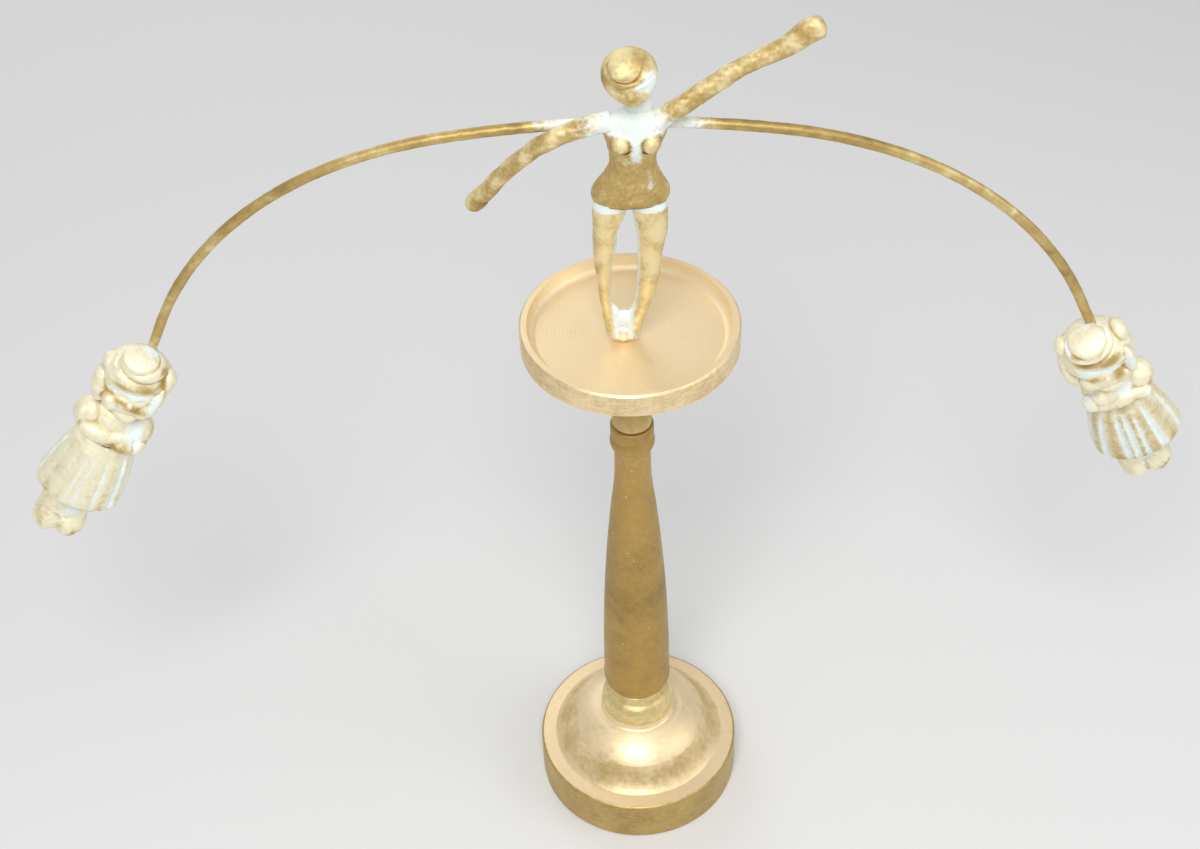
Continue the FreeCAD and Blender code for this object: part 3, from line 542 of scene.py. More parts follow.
def bare_steel(name, rough):
    paint = Paint(name)
    mottle = paint.noise(700, 4, 0.6)
    tone = tuple(colours().steel)
    base = paint.mix(paint.ramp(mottle, 0.35, 0.7), tuple(0.6 * value for value in tone), tone)
    return paint.finish(base, 1.0, paint.ramp(mottle, 0.3, 0.7, rough, rough + 0.15),
                        paint.bump(mottle, 0.2, 0.0002))


def felt_cloth(name):
    """Pressed felt: a tangle of fine fibres, darker in the gaps."""
    paint = Paint(name)
    tangle = paint.noise(2400, 6, 0.8, 2.0)
    tone = tuple(colours().felt)
    base = paint.mix(paint.ramp(tangle, 0.3, 0.7), tuple(0.5 * value for value in tone), tone)
    paint.shader.inputs["Sheen Weight"].default_value = 0.4
    paint.shader.inputs["Sheen Roughness"].default_value = 0.6
    return paint.finish(base, 0.0, 0.95, paint.bump(tangle, 0.6, 0.0004), 0.2)


MADE = {}


def kept(maker, name, *values, **options):
    """A material is made once and shared by the pieces that have the same finish."""
    if name not in MADE:
        MADE[name] = maker(name, *values, **options)
    return MADE[name]


def figure_brass():
    return kept(cast_brass, "cast_brass_figure", variety=0.75, metallic=0.48, dull=0.05)


# Pieces

class Piece(bpy.types.Operator):
    bl_options = {"REGISTER"}

    def execute(self, context):
        self.make()
        return {"FINISHED"}


class TOY_OT_stand(Piece):
    """Gives the turned stand its worn brass and the tie rod its steel"""
    bl_idname = "toy.stand"
    bl_label = "Stand"

    def make(self):
        finishes = {
            # base: the side wall beyond 38 mm is painted darker, as painted shade, and the ring at 28.5 mm is
            # a painted shade band on the steep slope of the dome
            "base": turned_brass(
                "turned_brass_base", 0.90, "peach", wall=(38.0, -0.5), shift=0.1,
                rings=(("radius", 28.5, 6.0, -0.25, 0), ("radius", 35.0, 2.5, 0.2, 0),
                       ("radius", 16.5, 1.2, 0.3, 0.2)),
            ),
            # collar: the ring at 50.3 mm is a painted highlight on the top chamfer, with residue in it
            "base_collar": turned_brass(
                "turned_brass_collar", 0.72, shift=0.2,
                rings=(("height", 36.4, 0.9, 0.3, 0.9), ("height", 50.3, 0.7, 0.3, 0.7)),
            ),
            # column: the ring at 50.4 mm is a painted highlight on the rounded foot, with residue in it
            "column": turned_brass(
                "turned_brass_column", 0.36, worn="bronze", shift=0.3, tool=0.35, speckle=0.6,
                rings=(("height", 50.4, 0.8, 0.2, 0.7), ("height", 110.0, 34.0, -0.1, 0),
                       ("height", 172.0, 12.0, 0.12, 0), ("height", 177.2, 0.5, 0, 0.6)),
            ),
            # dish: the side wall is painted darker, as painted shade; the ring at 31.6 mm is a painted
            # reflection along the inner fillet, with some residue; and round 200 mm the stem under the dish
            # is painted dark as the dish's shadow
            "dish": turned_brass(
                "turned_brass_dish", 1.0, "peach", wall=(34.7, -0.25), speckle=0.35, shift=0.4,
                rings=(("radius", 31.6, 1.2, 0.4, 0.2), ("height", 200.0, 22.0, -0.75, 0)),
            ),
            "tie_rod": bare_steel("drawn_steel", 0.35),
            "rod_washer": bare_steel("stamped_steel", 0.4),
            "rod_nut": bare_steel("nut_steel", 0.38),
            "pivot_pin": bare_steel("polished_steel", 0.15),
            "foot_ball": turned_brass("worn_brass_ball", 0.95, "cream", shift=0.5),
            "ankle_braze": turned_brass("brazing", 0.8, "residue", shift=0.6),
        }
        for node, material in finishes.items():
            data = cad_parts[node].data
            data.materials.clear()
            data.materials.append(material)


class TOY_OT_felt(Piece):
    """Felt disc under the hollow base, with a fluffed edge"""
    bl_idname = "toy.felt"
    bl_label = "Felt disc"

    def make(self):
        """Rings from the middle of the underside, round the edge and back over the top; the edge
        is a half circle of half the thickness."""
        radius, thick = sizes().felt_radius, sizes().felt_thickness
        half = thick / 2
        bend = np.linspace(-np.pi / 2, np.pi / 2, 9)
        reach = np.concatenate((np.linspace(1, radius - half, 40), radius - half + half * np.cos(bend)[1:-1]))
        level = np.concatenate((np.zeros(40), half + half * np.sin(bend)[1:-1]))
        reach = np.concatenate((reach, np.linspace(radius - half, 1, 40)))
        level = np.concatenate((level, np.full(40, thick)))
        turn = np.linspace(0, 2 * np.pi, 180, endpoint=False)
        points = np.stack(
            (reach[:, None] * np.cos(turn), reach[:, None] * np.sin(turn), level[:, None] + 0 * turn), -1
        )
        edge = (reach > radius - 1.5)[:, None]
        points[..., :2] *= (1 - 0.0012 * edge * (1 + ripple(points, 1.1, 5)))[..., None]
        ends = (np.array((0, 0, 0.0)), np.array((0, 0, thick)))
        finish_piece("felt_disc", Place((0, 0, 0)), points, ends, {},
                     felt_cloth("pressed_felt"), ["base_felt"], "stand")


class TOY_OT_rod(Piece):
    """The bent rod behind the figure's shoulders"""
    bl_idname = "toy.rod"
    bl_label = "Bent rod"

    def make(self):
        half = half_rod(60)
        line = np.concatenate((half[:0:-1] * (-1, 1), half))
        path = np.stack((line[:, 0], 0 * line[:, 0], line[:, 1]), -1)
        count = len(path)
        radius = sizes().rod_radius * (1 + 0.012 * ripple(path, 14, 3))
        radius[:1] *= 0.9
        radius[-1:] *= 0.9
        ways = carried(path, radius, radius, 28)
        points = path[:, None] + ways
        points += 0.03 * ripple(points, 3.0, 8)[..., None] * ways / sizes().rod_radius
        beside = np.exp(-(((path[:, 0] - 3) / 26) ** 4))
        near_doll = np.clip((np.abs(path[:, 0]) - 143) / 5, 0, 1)
        marks = {
            "dent": 0.3 * ripple(points, 4.0, 9),
            "wash": (0.95 * beside + 0.7 * near_doll)[:, None],
            "tone": 0.45 + 0.12 * ripple(points, 22.0, 10),
        }
        finish_piece("bent_rod", rod_frame(), points, (path[0], path[-1]), marks,
                     kept(cast_brass, "drawn_brass_rod", variety=0.45),
                     ["balance_wire"])


# Each leg from the hem down: height, aside, ahead, half width, half depth
LEGS = {
    "left": (
        (53.2, -2.9, -0.3, 5.2, 4.0), (48.0, -3.6, -0.6, 4.85, 3.9), (42.5, -4.6, -1.0, 3.75, 3.6),
        (34.0, -5.2, -0.4, 3.4, 3.6), (25.7, -5.5, -0.6, 2.5, 2.9), (18.0, -5.4, -0.5, 2.05, 2.5),
        (12.4, -5.1, -0.4, 1.8, 2.4), (6.0, -3.9, -0.2, 2.3, 3.2), (1.0, -2.8, 0.0, 2.7, 3.9),
        (-1.3, -2.55, 0.0, 2.6, 4.1),
    ),
    "right": (
        (53.2, 7.8, -0.3, 5.2, 4.0), (48.0, 8.6, -0.6, 5.1, 3.9), (42.5, 9.0, -1.0, 4.65, 4.3),
        (34.0, 8.5, -0.4, 3.85, 4.0), (25.7, 8.2, -0.6, 3.5, 3.9), (18.0, 7.2, -0.5, 3.0, 3.4),
        (12.4, 6.0, -0.4, 2.45, 3.1), (6.0, 4.1, -0.2, 2.5, 3.4), (1.0, 2.8, 0.0, 2.7, 3.9),
        (-1.3, 2.55, 0.0, 2.6, 4.1),
    ),
}


class TOY_OT_legs(Piece):
    """Both legs, down to the shoes that meet round the ball"""
    bl_idname = "toy.legs"
    bl_label = "Legs"

    def make(self):
        for name, side in (("left", -1), ("right", 1)):
            course = spline(LEGS[name], 120)
            path = course[:, [1, 2, 0]]
            close = rounded_ends(120, 0.0, 0.035)
            ways = carried(path, course[:, 3] * close, course[:, 4] * close, 72)
            points = path[:, None] + ways
            lump = 0.09 * ripple(points, 6, 21 + side) + 0.03 * ripple(points, 1.8, 25 + side)
            points = points + lump[..., None] * ways / course[:, None, 3:4]
            # the inner side of each leg is a flat seam
            plane = 0.042 * points[..., 2]
            inner = side * (points[..., 0] - plane)
            points[..., 0] += side * np.maximum(0.02 - inner, 0)
            height = points[..., 2]
            inward = -side * (points[..., 0] - path[:, None, 0]) / course[:, None, 3]
            seam = rise(inward, 0.62, 0.25)
            ankle = bell(height, 4, 6) * np.clip(inward + 0.3, 0, 1)
            hem = rise(height, 49.8, 1.2)
            feet = bell(height, -0.5, 4)
            marks = {
                "dent": 4 * lump,
                "wash": 0.62 * seam + 0.9 * ankle + 0.85 * hem + 0.08 + 0.5 * feet,
                # painted shade: a dark line at the top of each leg, under the torso's hem
                "grime": 1.2 * rise(height, 52.3, 0.5),
                # the outer side of each leg is painted darker, as painted shade; the brass is also darker
                # near the feet
                "tone": 0.84 - 0.25 * np.clip(-inward - 0.6, 0, 1) - 0.2 * np.exp(-((height / 5) ** 2)),
            }
            finish_piece("leg_" + name, toy_frame(), points, (path[0], path[-1]), marks,
                         kept(cast_brass, "cast_brass_legs", variety=0.5),
                         [name + "_leg"])


# The torso from the hem up: height, aside, ahead, half width, half depth
TORSO = (
    (52.6, 2.73, -0.3, 10.7, 4.7), (55.4, 2.9, -0.75, 11.4, 5.6), (58.6, 3.1, -1.2, 10.9, 5.8),
    (62.4, 3.32, -1.9, 9.0, 5.3), (66.0, 3.54, -2.5, 7.3, 4.9), (69.5, 3.75, -3.0, 6.6, 4.7),
    (73.0, 3.96, -3.6, 6.9, 5.0), (76.5, 4.17, -4.1, 7.8, 5.4), (79.8, 4.36, -4.6, 8.6, 5.1),
    (82.6, 4.53, -4.6, 9.0, 4.6), (85.2, 4.7, -4.6, 7.6, 4.1), (87.0, 4.8, -4.6, 5.0, 3.7),
    (88.6, 4.9, -4.5, 3.6, 3.4),
)


class TOY_OT_torso(Piece):
    """The torso with its hem over the legs"""
    bl_idname = "toy.torso"
    bl_label = "Torso"

    def make(self):
        """Ovals stacked up the body; two half-sunk ellipsoids at the front push the surface out
        where the ray from the oval's middle leaves them further away."""
        rows, around = 190, 160
        course = spline(TORSO, rows)
        turn = np.linspace(0, 2 * np.pi, around, endpoint=False)[None]
        ways = np.stack((np.cos(turn) + 0 * course[:, :1], np.sin(turn) + 0 * course[:, :1]), -1)
        width, depth = course[:, 3:4], course[:, 4:5]
        reach = 1 / np.sqrt((ways[..., 0] / width) ** 2 + (ways[..., 1] / depth) ** 2)
        reaches = [reach]
        for side in (-1, 1):
            middle = np.array((4.65 + side * 4.15, -8.3, 79.0))
            radii = np.array((2.8, 2.9, 2.9))
            over = np.clip(1 - ((course[:, :1] - middle[2]) / radii[2]) ** 2, 0, 1)
            start = course[:, 1:3] - middle[:2]
            start = start[:, None] / radii[:2]
            heading = ways / radii[:2]
            a = (heading**2).sum(-1)
            b = (heading * start).sum(-1)
            inside = b * b - a * ((start**2).sum(-1) - over)
            reaches.append(np.where((inside > 0) & (over > 0), (np.sqrt(np.maximum(inside, 0)) - b) / a, 0))
        reaches = np.array(reaches)
        peak = reaches.max(0)
        soft = 0.16
        reach = peak + soft * np.log(np.exp((reaches - peak) / soft).sum(0))
        points = np.concatenate((course[:, None, 1:3] + ways * reach[..., None],
                                 course[:, :1, None] + 0 * reach[..., None]), -1)
        reach = reach + 0.10 * ripple(points, 5, 31) + 0.05 * ripple(points, 1.6, 32)
        points[..., :2] = course[:, None, 1:3] + ways * reach[..., None]
        x, y, z = np.moveaxis(points, -1, 0)
        chest = rise(z, 79.4, 2.6) * np.exp(-(((x - 4) / 10) ** 4))
        wash = 0.95 * chest + spots(points, (
            (4.7, -9.0, 79.0, 1.9, 3.0, 4.6, 0.95),
            (4.9, -8.4, 74.0, 2.4, 3.0, 3.4, 0.55),
            (8.5, -6.0, 66.0, 1.7, 3.0, 4.6, 0.40),
            (9.1, -6.0, 61.7, 1.8, 3.0, 2.4, 0.42),
            (3.3, -6.6, 56.3, 2.8, 3.0, 1.3, 0.42),
            (1.8, -8.3, 72.3, 1.6, 3.0, 2.0, 0.34),
            (-0.5, -6.0, 60.0, 1.5, 3.0, 2.0, 0.24),
        ))
        # painted shadow: dark crescents under the busts
        bust_shadows = np.zeros_like(x)
        for middle_x in (0.5, 8.8):
            from_middle = np.hypot(x - middle_x, z - 79.0)
            ring = bell(from_middle, 3.1, 0.42)
            bust_shadows += ring * rise(-z, -78.4, 1.5) * (y < -6)
        busts = spots(points, [(side, -10.8, 79.4, 2.2, 2.5, 2.4, 1.0) for side in (0.5, 8.8)])
        marks = {
            "dent": dents(reach, 10, 0.35),
            "wash": wash - 0.9 * busts,
            # painted shade: the shadows under the busts and a dark line under the hem
            "grime": 1.1 * bust_shadows + 1.2 * rise(-z, -53.1, 0.5),
            "tone": 0.45 + 0.3 * busts + 0.15 * chest,
        }
        low = np.array((course[0, 1], course[0, 2], course[0, 0] + 0.0))
        top = np.array((course[-1, 1], course[-1, 2], course[-1, 0]))
        finish_piece("torso_casting", toy_frame(), points, (low, top), marks,
                     figure_brass(), ["torso"])


class TOY_OT_head(Piece):
    """The figure's head and neck"""
    bl_idname = "toy.head"
    bl_label = "Head"

    def make(self):
        tilt = ("X", 14.0)
        lobes = [
            ((3.2, -6.8, 100.8), (7.6, 7.0, 7.7), tilt),
            ((3.2, -6.2, 101.9), (7.4, 6.8, 5.9)),
            ((3.6, -8.6, 98.8), (5.6, 5.1, 5.6)),
            ((1.9, -9.9, 105.0), (4.6, 4.3, 2.7), ("X", 24)),
            ((3.6, -13.1, 98.8), (1.0, 1.0, 1.7)),
            ((3.8, -11.0, 95.9), (2.5, 2.1, 2.0)),
            ((5.4, -3.9, 91.5), (4.0, 3.9, 7.4)),
        ]

        def sockets(points, reach):
            """Two shallow hollows under the brow, the crease round the roll of hair and a line below."""
            x, y, z = np.moveaxis(points, -1, 0)
            places = [(3.5 + side * 2.9, -13.4, 99.8, 1.7, 3.0, 1.0, 0.5) for side in (-1, 1)]
            roll = np.hypot((x - 1.9) / 4.7, (z - 106.2) / 3.3)
            crease = bell(roll, 1, 0.13) * rise(-z, -106.5, 2)
            band = np.exp(-(((z - 101.4 - 0.25 * (x - 3)) / 0.5) ** 2)) * np.exp(-(((x - 4) / 4.5) ** 4))
            return reach - spots(points, places) - (0.6 * crease + 0.35 * band) * (y < -8)

        points, ends, marks = star_piece((3.6, -6.4, 99.0), lobes, (130, 160), 0.28, sockets, 41, 0.08)
        neck = np.clip((95.0 - points[..., 2]) / 2.5, 0, 1) * (points[..., 1] > -9.0)
        marks["wash"] = 1.0 * neck + spots(points, (
            (8.4, -11.6, 102.0, 2.6, 4.0, 3.6, 1.0),
            (5.6, -14.0, 100.8, 2.0, 3.0, 1.0, 0.9),
            (9.4, -8.0, 98.0, 2.2, 4.0, 4.0, 0.9),
            (-1.2, -12.4, 104.2, 0.8, 2.0, 1.8, 0.6),
            (2.4, -12.0, 107.6, 2.6, 2.6, 1.5, 0.35),
        ))
        # painted shadow under the chin
        marks["grime"] = spots(points, ((3.6, -9.2, 93.6, 3.6, 1.6, 0.7, 1.1),))
        marks["tone"] = 0.80 + spots(points, (
            (-4.6, -9.5, 102.0, 1.8, 3.0, 2.6, -0.65),
            (0.8, -14.0, 102.2, 4.4, 3.0, 1.7, -0.38),
            (5.9, -13.8, 103.4, 2.0, 2.0, 0.5, -0.5),
            (1.8, -13.6, 104.2, 3.6, 2.0, 0.5, -0.3),
            (3.4, -13.0, 97.0, 3.2, 3.0, 2.0, -0.18),
            (6.6, -10.5, 107.0, 1.8, 3.0, 2.4, -0.25),
        ))
        finish_piece("head_casting", toy_frame(), points, ends, marks,
                     figure_brass(), ["head"])


# Each arm from the shoulder out: place, half width, half depth
ARMS = {
    "left": (
        (-1.5, -4.9, 84.3, 3.1, 3.0), (-7.0, -5.0, 83.3, 2.95, 2.8), (-13.4, -5.1, 81.0, 2.75, 2.6),
        (-20.5, -4.9, 77.4, 2.6, 2.5), (-26.5, -1.6, 70.4, 2.5, 2.5), (-33.0, 3.0, 61.0, 2.5, 2.5),
        (-38.6, 7.0, 51.5, 2.65, 2.6), (-42.6, 10.0, 45.0, 3.0, 2.6), (-45.0, 12.1, 40.6, 2.2, 2.1),
    ),
    "right": (
        (9.4, -5.1, 83.4, 3.2, 3.0), (16.9, -4.8, 88.6, 2.85, 2.7), (24.2, -4.1, 93.8, 2.75, 2.6),
        (31.5, -3.4, 98.9, 2.6, 2.5), (38.5, -3.4, 102.9, 2.55, 2.5), (45.1, -3.4, 106.4, 2.9, 2.6),
        (50.6, -3.4, 110.9, 3.5, 2.9), (55.0, -3.4, 112.7, 2.9, 2.5),
    ),
}


class TOY_OT_arms(Piece):
    """One arm lowered behind, the other raised"""
    bl_idname = "toy.arms"
    bl_label = "Arms"

    def make(self):
        for name, seed in (("left", 51), ("right", 61)):
            course = spline(ARMS[name], 130)
            path = course[:, :3]
            close = rounded_ends(130, 0.02, 0.05)
            ways = carried(path, course[:, 3] * close, course[:, 4] * close, 64)
            points = path[:, None] + ways
            lump = 0.13 * ripple(points, 6, seed) + 0.05 * ripple(points, 1.7, seed + 1)
            if name == "left":
                # a flattened notch before the hand
                spot = np.array((-41.2, 6.6, 45.6))
                lump = lump - 0.8 * np.exp(-(((points - spot) / (2.6, 2.6, 1.6)) ** 2).sum(-1))
            points = points + lump[..., None] * ways / course[:, None, 3:4]
            near = np.clip(1 - np.arange(130) / (40.0 if name == "left" else 20.0), 0, 1)
            below = np.clip(-ways[..., 2] / course[:, None, 3], 0, 1)
            marks = {
                "dent": np.clip(-4 * lump, -1, 1),
                "wash": 1.5 * near[:, None] ** 0.8 * (0.6 + 0.4 * below) + 0.10 * (lump > 0.12),
                # the underside of each arm is painted darker, as painted shade
                "tone": 0.66 + 0.12 * near[:, None] - 0.25 * below,
            }
            finish_piece("arm_" + name, toy_frame(), points, (path[0], path[-1]), marks,
                         figure_brass(), [name + "_arm"])


class TOY_OT_ankles(Piece):
    """The brazing that fills the space between the ankles"""
    bl_idname = "toy.ankles"
    bl_label = "Ankle brazing"

    def make(self):
        lobes = [
            ((0.3, -0.6, 4.4), (4.2, 2.3, 4.2)),
            ((-2.6, -0.6, 7.4), (1.6, 1.6, 4.6), ("Y", -16)),
            ((3.4, -0.6, 7.4), (1.6, 1.6, 4.6), ("Y", 18)),
        ]
        points, ends, marks = star_piece((0.3, -1.0, 5.8), lobes, (60, 80), 0.4, None, 71, 0.12)
        marks["wash"] = 0.85
        finish_piece("ankle_fillet", toy_frame(), points, ends, marks,
                     figure_brass(), [])


class DollPiece(Piece):
    """One part of both dolls: cast() gives its surface in the doll's own frame."""

    def make(self):
        for which, seed in (("left", self.seed), ("right", self.seed + 10)):
            place, girth = doll_frame(which)
            points, ends, marks = self.cast(which, girth, seed)
            material = kept(cast_brass, "cast_brass_dolls", variety=0.42, best="cream", metallic=0.38,
                            dull=0.06)
            finish_piece(which + "_" + self.part, place, points, ends, marks, material,
                         [which + "_doll_" + self.part])


# Each doll's head: the crown disc's place aside and radius, the height and slope of the fringe's
# lower edge, the front lock's place aside, lumps of hair at the sides, and the places of residue and
# of brighter or browner brass
DOLL_HEADS = {
    "left": (
        -2.0, 5.8, -9.3, 0.20, 7.7,
        (((-9.1, 0.4, -8.2), (2.9, 3.6, 3.2)), ((-9.8, -1.2, -12.8), (2.7, 3.4, 2.8)),
         ((-9.4, -2.8, -17.2), (2.8, 3.2, 3.0)), ((8.6, -1.4, -7.0), (2.8, 4.0, 5.0))),
        ((0.4, 0.0, 2.4, 3.4, 3.4, 3.0, 1.0), (-5.6, -8.0, -12.4, 2.6, 3.0, 1.5, 0.95),
         (-1.4, -9.0, -11.4, 3.0, 3.0, 1.3, 0.85), (3.2, -8.6, -11.2, 2.6, 3.0, 2.0, 0.9),
         (7.6, -7.6, -13.4, 1.5, 2.4, 6.0, 0.95), (-9.6, -2.6, -8.4, 1.8, 3.0, 2.6, 0.5),
         (-4.3, -8.9, -18.0, 2.2, 2.4, 0.9, 0.8), (5.0, -6.6, -4.4, 1.4, 2.0, 1.8, 0.5)),
        ((5.8, -4.2, -0.6, 1.4, 2.4, 1.4, -0.6), (7.2, -5.6, -4.4, 1.8, 2.6, 2.4, -0.6),
         (3.4, -8.8, -7.0, 3.0, 2.6, 1.8, -0.5), (-3.4, -9.0, -8.6, 4.6, 2.6, 1.2, -0.4),
         (3.2, -9.2, -16.4, 3.6, 3.0, 1.5, -0.6), (-3.0, -9.4, -14.9, 3.4, 2.4, 0.9, -0.4),
         (-7.2, -6.4, -17.0, 2.0, 2.6, 3.0, -0.35), (-10.5, 0.0, -9.0, 2.0, 3.0, 3.0, -0.2)),
    ),
    "right": (
        -0.6, 6.1, -8.1, -0.25, 8.8,
        (((-8.6, 1.6, -5.2), (2.8, 3.6, 3.2)), ((-9.3, -0.8, -9.6), (2.7, 3.4, 3.0)),
         ((8.8, 0.6, -5.4), (2.9, 4.0, 3.8)), ((9.2, 0.6, -13.0), (2.8, 4.0, 4.4))),
        ((0.8, 3.2, 0.6, 3.0, 3.6, 3.6, 1.0), (-7.0, -2.0, -0.4, 0.9, 5.0, 2.6, 0.85),
         (-6.6, -7.6, -12.0, 2.4, 3.0, 3.0, 0.7), (5.9, -3.2, 0.2, 0.9, 5.0, 1.8, 0.7),
         (-2.6, -9.0, -9.4, 3.0, 3.0, 1.5, 0.95), (3.0, -9.0, -11.4, 3.6, 3.0, 1.9, 1.0),
         (9.0, -6.6, -13.0, 1.7, 2.6, 6.2, 1.0), (-9.6, 0.4, -8.4, 2.0, 3.0, 2.0, 0.4)),
        ((-4.4, -8.8, -5.0, 3.8, 2.6, 1.7, -0.75), (4.0, -8.8, -6.6, 4.2, 2.6, 1.7, -0.6),
         (-4.4, -6.6, -1.0, 3.2, 1.4, 0.8, -0.5), (4.6, -9.0, -15.0, 2.4, 2.6, 2.4, -0.5),
         (8.4, -0.8, -3.0, 1.6, 5.0, 3.0, -0.3), (-3.4, -8.9, -14.2, 3.0, 2.4, 1.2, -0.4)),
    ),
}


class TOY_OT_doll_heads(DollPiece):
    """The dolls' heads: hair with a crown disc, curls, fringe and a plain face"""
    bl_idname = "toy.doll_heads"
    bl_label = "Dolls' heads"
    part = "head"
    seed = 81

    def cast(self, which, girth, seed):
        disc, across, edge, slope, lock, lumps, washed, toned = DOLL_HEADS[which]
        lobes = [
            ((0, 0.4, -10.4), (11.2 * girth, 9.9 * girth, 10.2)),
            ((-0.6, -3.4, -1.3), (7.4 * girth, 6.3 * girth, 3.4), ("X", 16)),
            ((0, -1.9, -17.0), (8.2 * girth, 8.1 * girth, 8.5)),
            ((0.6, -7.6, -20.6), (4.0, 3.0, 2.8)),
            ((0.5, -9.5, -15.2), (1.1, 0.8, 1.4)),
            ((0, 0, -24.6), (4.9, 4.9, 3.2)),
            ((lock, -5.6, -13.8), (1.9, 2.8, 6.9), ("Y", 3)),
            *lumps,
        ]
        for side, spread in ((-1, 9.2), (1, 7.4)):
            lobes.append(((side * 4.6, -6.2, -17.6), (3.6, 3.6, 3.4)))
            lobes.append(((side * spread * girth, -1.0, -17.2), (3.3, 4.6, 7.7), ("Y", side * 8)))
        for bend in (118, 149, 180, 211, 242):
            x, y = math.sin(math.radians(bend)), -math.cos(math.radians(bend))
            lobes.append(((7.6 * x * girth, 7.0 * y * girth, -17.5), (3.8, 3.6, 6.6)))

        def carved(points, reach):
            """The disc stands up inside a ring-shaped groove; the fringe is a raised band above
            its sloping edge and the face steps back under it; combed hair is faint ridges, the
            sine of the turn; and the eyes are shallow hollows."""
            x, y, z = np.moveaxis(points, -1, 0)
            out = np.hypot(x - disc, y + 3.0) / across
            upper = rise(z, -5.5, 2)
            front = rise(-y, 4.5, 2)
            ring = bell(out, 1.04, 0.085)
            reach = reach + upper * (0.3 * rise(-out, -1, 0.08) - 0.55 * ring)
            above = z - (edge + slope * x)
            band = rise(above, -0.35, 0.7) * rise(-above, -5.4, 1.6)
            fall = rise(-above, -0.35, 0.7) * rise(above, -5.5, 4)
            side = np.clip((7.4 - np.abs(x)) / 1.2, 0, 1)
            reach = reach + front * (0.35 * band - 1.0 * fall * side)
            comb = np.sin(np.arctan2(y - 0.5, x) * 17 + 2.2 * np.sin(z * 0.35 + seed))
            reach = reach + 0.08 * comb * np.clip(1 - 2 * front - upper, 0, 1)
            eyes = [(0.5 + side * 3.0, -9.8, -13.2, 1.5, 3.0, 0.8, 0.35) for side in (-1, 1)]
            return reach - spots(points, eyes)

        points, ends, marks = star_piece(
            (0, -1.2, -13.0), lobes, (210, 270), 0.3, carved, seed, 0.12
        )
        marks["wash"] = 0.10 + spots(points, washed)
        marks["tone"] = 0.92 + spots(points, toned)
        # painted shade: a dark band at the bottom of the head, above the bust
        marks["grime"] = 0.9 * np.clip((-23.4 - points[..., 2]) / 1.2, 0, 1)
        return points, ends, marks


# Each doll's bust: how far the sleeves stand out, the lobes of the folded arms, residue and tones
DOLL_BUSTS = {
    "left": (
        (8.2, 7.6),
        (((-3.0, -6.4, -34.8), (7.4, 3.4, 3.6), ("Y", 9)), ((4.6, -7.2, -36.2), (3.6, 2.8, 3.2)),
         ((8.6, -4.6, -36.4), (3.4, 3.8, 3.2)), ((3.0, -6.2, -33.6), (4.4, 2.6, 2.6))),
        ((6.0, -5.0, -29.4, 3.6, 4.0, 3.8, 0.95), (8.0, -6.6, -33.0, 2.8, 3.0, 2.6, 0.7),
         (-9.8, -5.0, -32.8, 2.0, 3.0, 1.4, 0.4), (9.8, -6.4, -36.6, 1.4, 3.0, 2.0, 0.5)),
        ((-8.0, -6.6, -36.6, 5.0, 3.0, 1.4, -0.38),
         (5.0, -9.0, -36.2, 2.8, 3.0, 2.0, -0.5), (1.0, -8.0, -36.0, 4.0, 3.0, 1.4, -0.42),
         (11.4, -3.6, -31.0, 1.6, 3.0, 3.4, -0.3)),
    ),
    "right": (
        (4.9, 7.8),
        (((-0.6, -6.5, -34.0), (8.4, 3.2, 3.4), ("Y", 2)), ((-8.0, -5.2, -33.2), (3.3, 3.3, 3.4)),
         ((6.4, -5.6, -34.6), (4.6, 3.2, 3.0)), ((-3.0, -5.8, -30.4), (4.6, 3.0, 2.4))),
        ((3.0, -6.0, -29.6, 4.4, 4.0, 3.4, 0.75), (-8.8, -5.4, -32.6, 2.6, 3.0, 2.6, 1.0),
         (10.0, -7.4, -34.4, 2.0, 3.0, 1.4, 0.8), (-6.0, -6.0, -29.0, 3.0, 3.0, 1.6, 0.5)),
        ((11.4, -4.2, -32.6, 1.8, 3.0, 1.8, -0.3), (-3.0, -8.6, -35.4, 5.0, 3.0, 1.5, -0.3),
         (5.0, -8.0, -36.0, 4.4, 3.0, 1.4, -0.36)),
    ),
}


class TOY_OT_doll_busts(DollPiece):
    """The dolls' puffed sleeves and folded arms"""
    bl_idname = "toy.doll_busts"
    bl_label = "Dolls' busts"
    part = "bust"
    seed = 101

    def cast(self, which, girth, seed):
        spreads, arms, washed, toned = DOLL_BUSTS[which]
        lobes = [((0, 0, -33.4), (9.2 * girth, 7.5 * girth, 9.4)), *arms]
        for side, spread in zip((-1, 1), spreads):
            middle = (side * spread * girth, -0.6, -32.6)
            lobes.append((middle, (5.2 * girth, 5.5 * girth, 6.4), ("Y", -side * 12)))

        def gathers(points, reach):
            """Gathered cloth: shallow ridges fanning out over each sleeve from its top."""
            x, y, z = np.moveaxis(points, -1, 0)
            fan = np.sin(np.arctan2(y + 0.6, np.abs(x) - 4) * 11)
            sleeve = np.clip((np.abs(x) - 6) / 3, 0, 1) * rise(-z, 28, 2)
            return reach + 0.13 * fan * sleeve * rise(y, -7, 3)

        points, ends, marks = star_piece((0, -0.6, -33.6), lobes, (130, 200), 0.38, gathers, seed, 0.14)
        z = points[..., 2]
        marks["wash"] = 0.08 + spots(points, washed)
        marks["tone"] = 0.88 + spots(points, toned)
        # painted shade: dark bands where the bust meets the head and the skirt
        marks["grime"] = 0.9 * rise(z, -26.6, 1.0) + rise(-z, 39.4, 1.0)
        return points, ends, marks


# The skirt from the sash down: drop, half width, half depth
SKIRT = (
    (40.3, 7.2, 5.8), (41.4, 8.7, 7.0), (44.0, 10.2, 8.1), (48.0, 11.5, 9.1), (53.0, 12.6, 9.9),
    (58.0, 13.4, 10.5), (63.0, 14.1, 11.0), (67.0, 14.6, 11.4), (68.7, 14.5, 11.3),
    (69.5, 13.7, 10.6), (69.7, 10.8, 8.4),
)
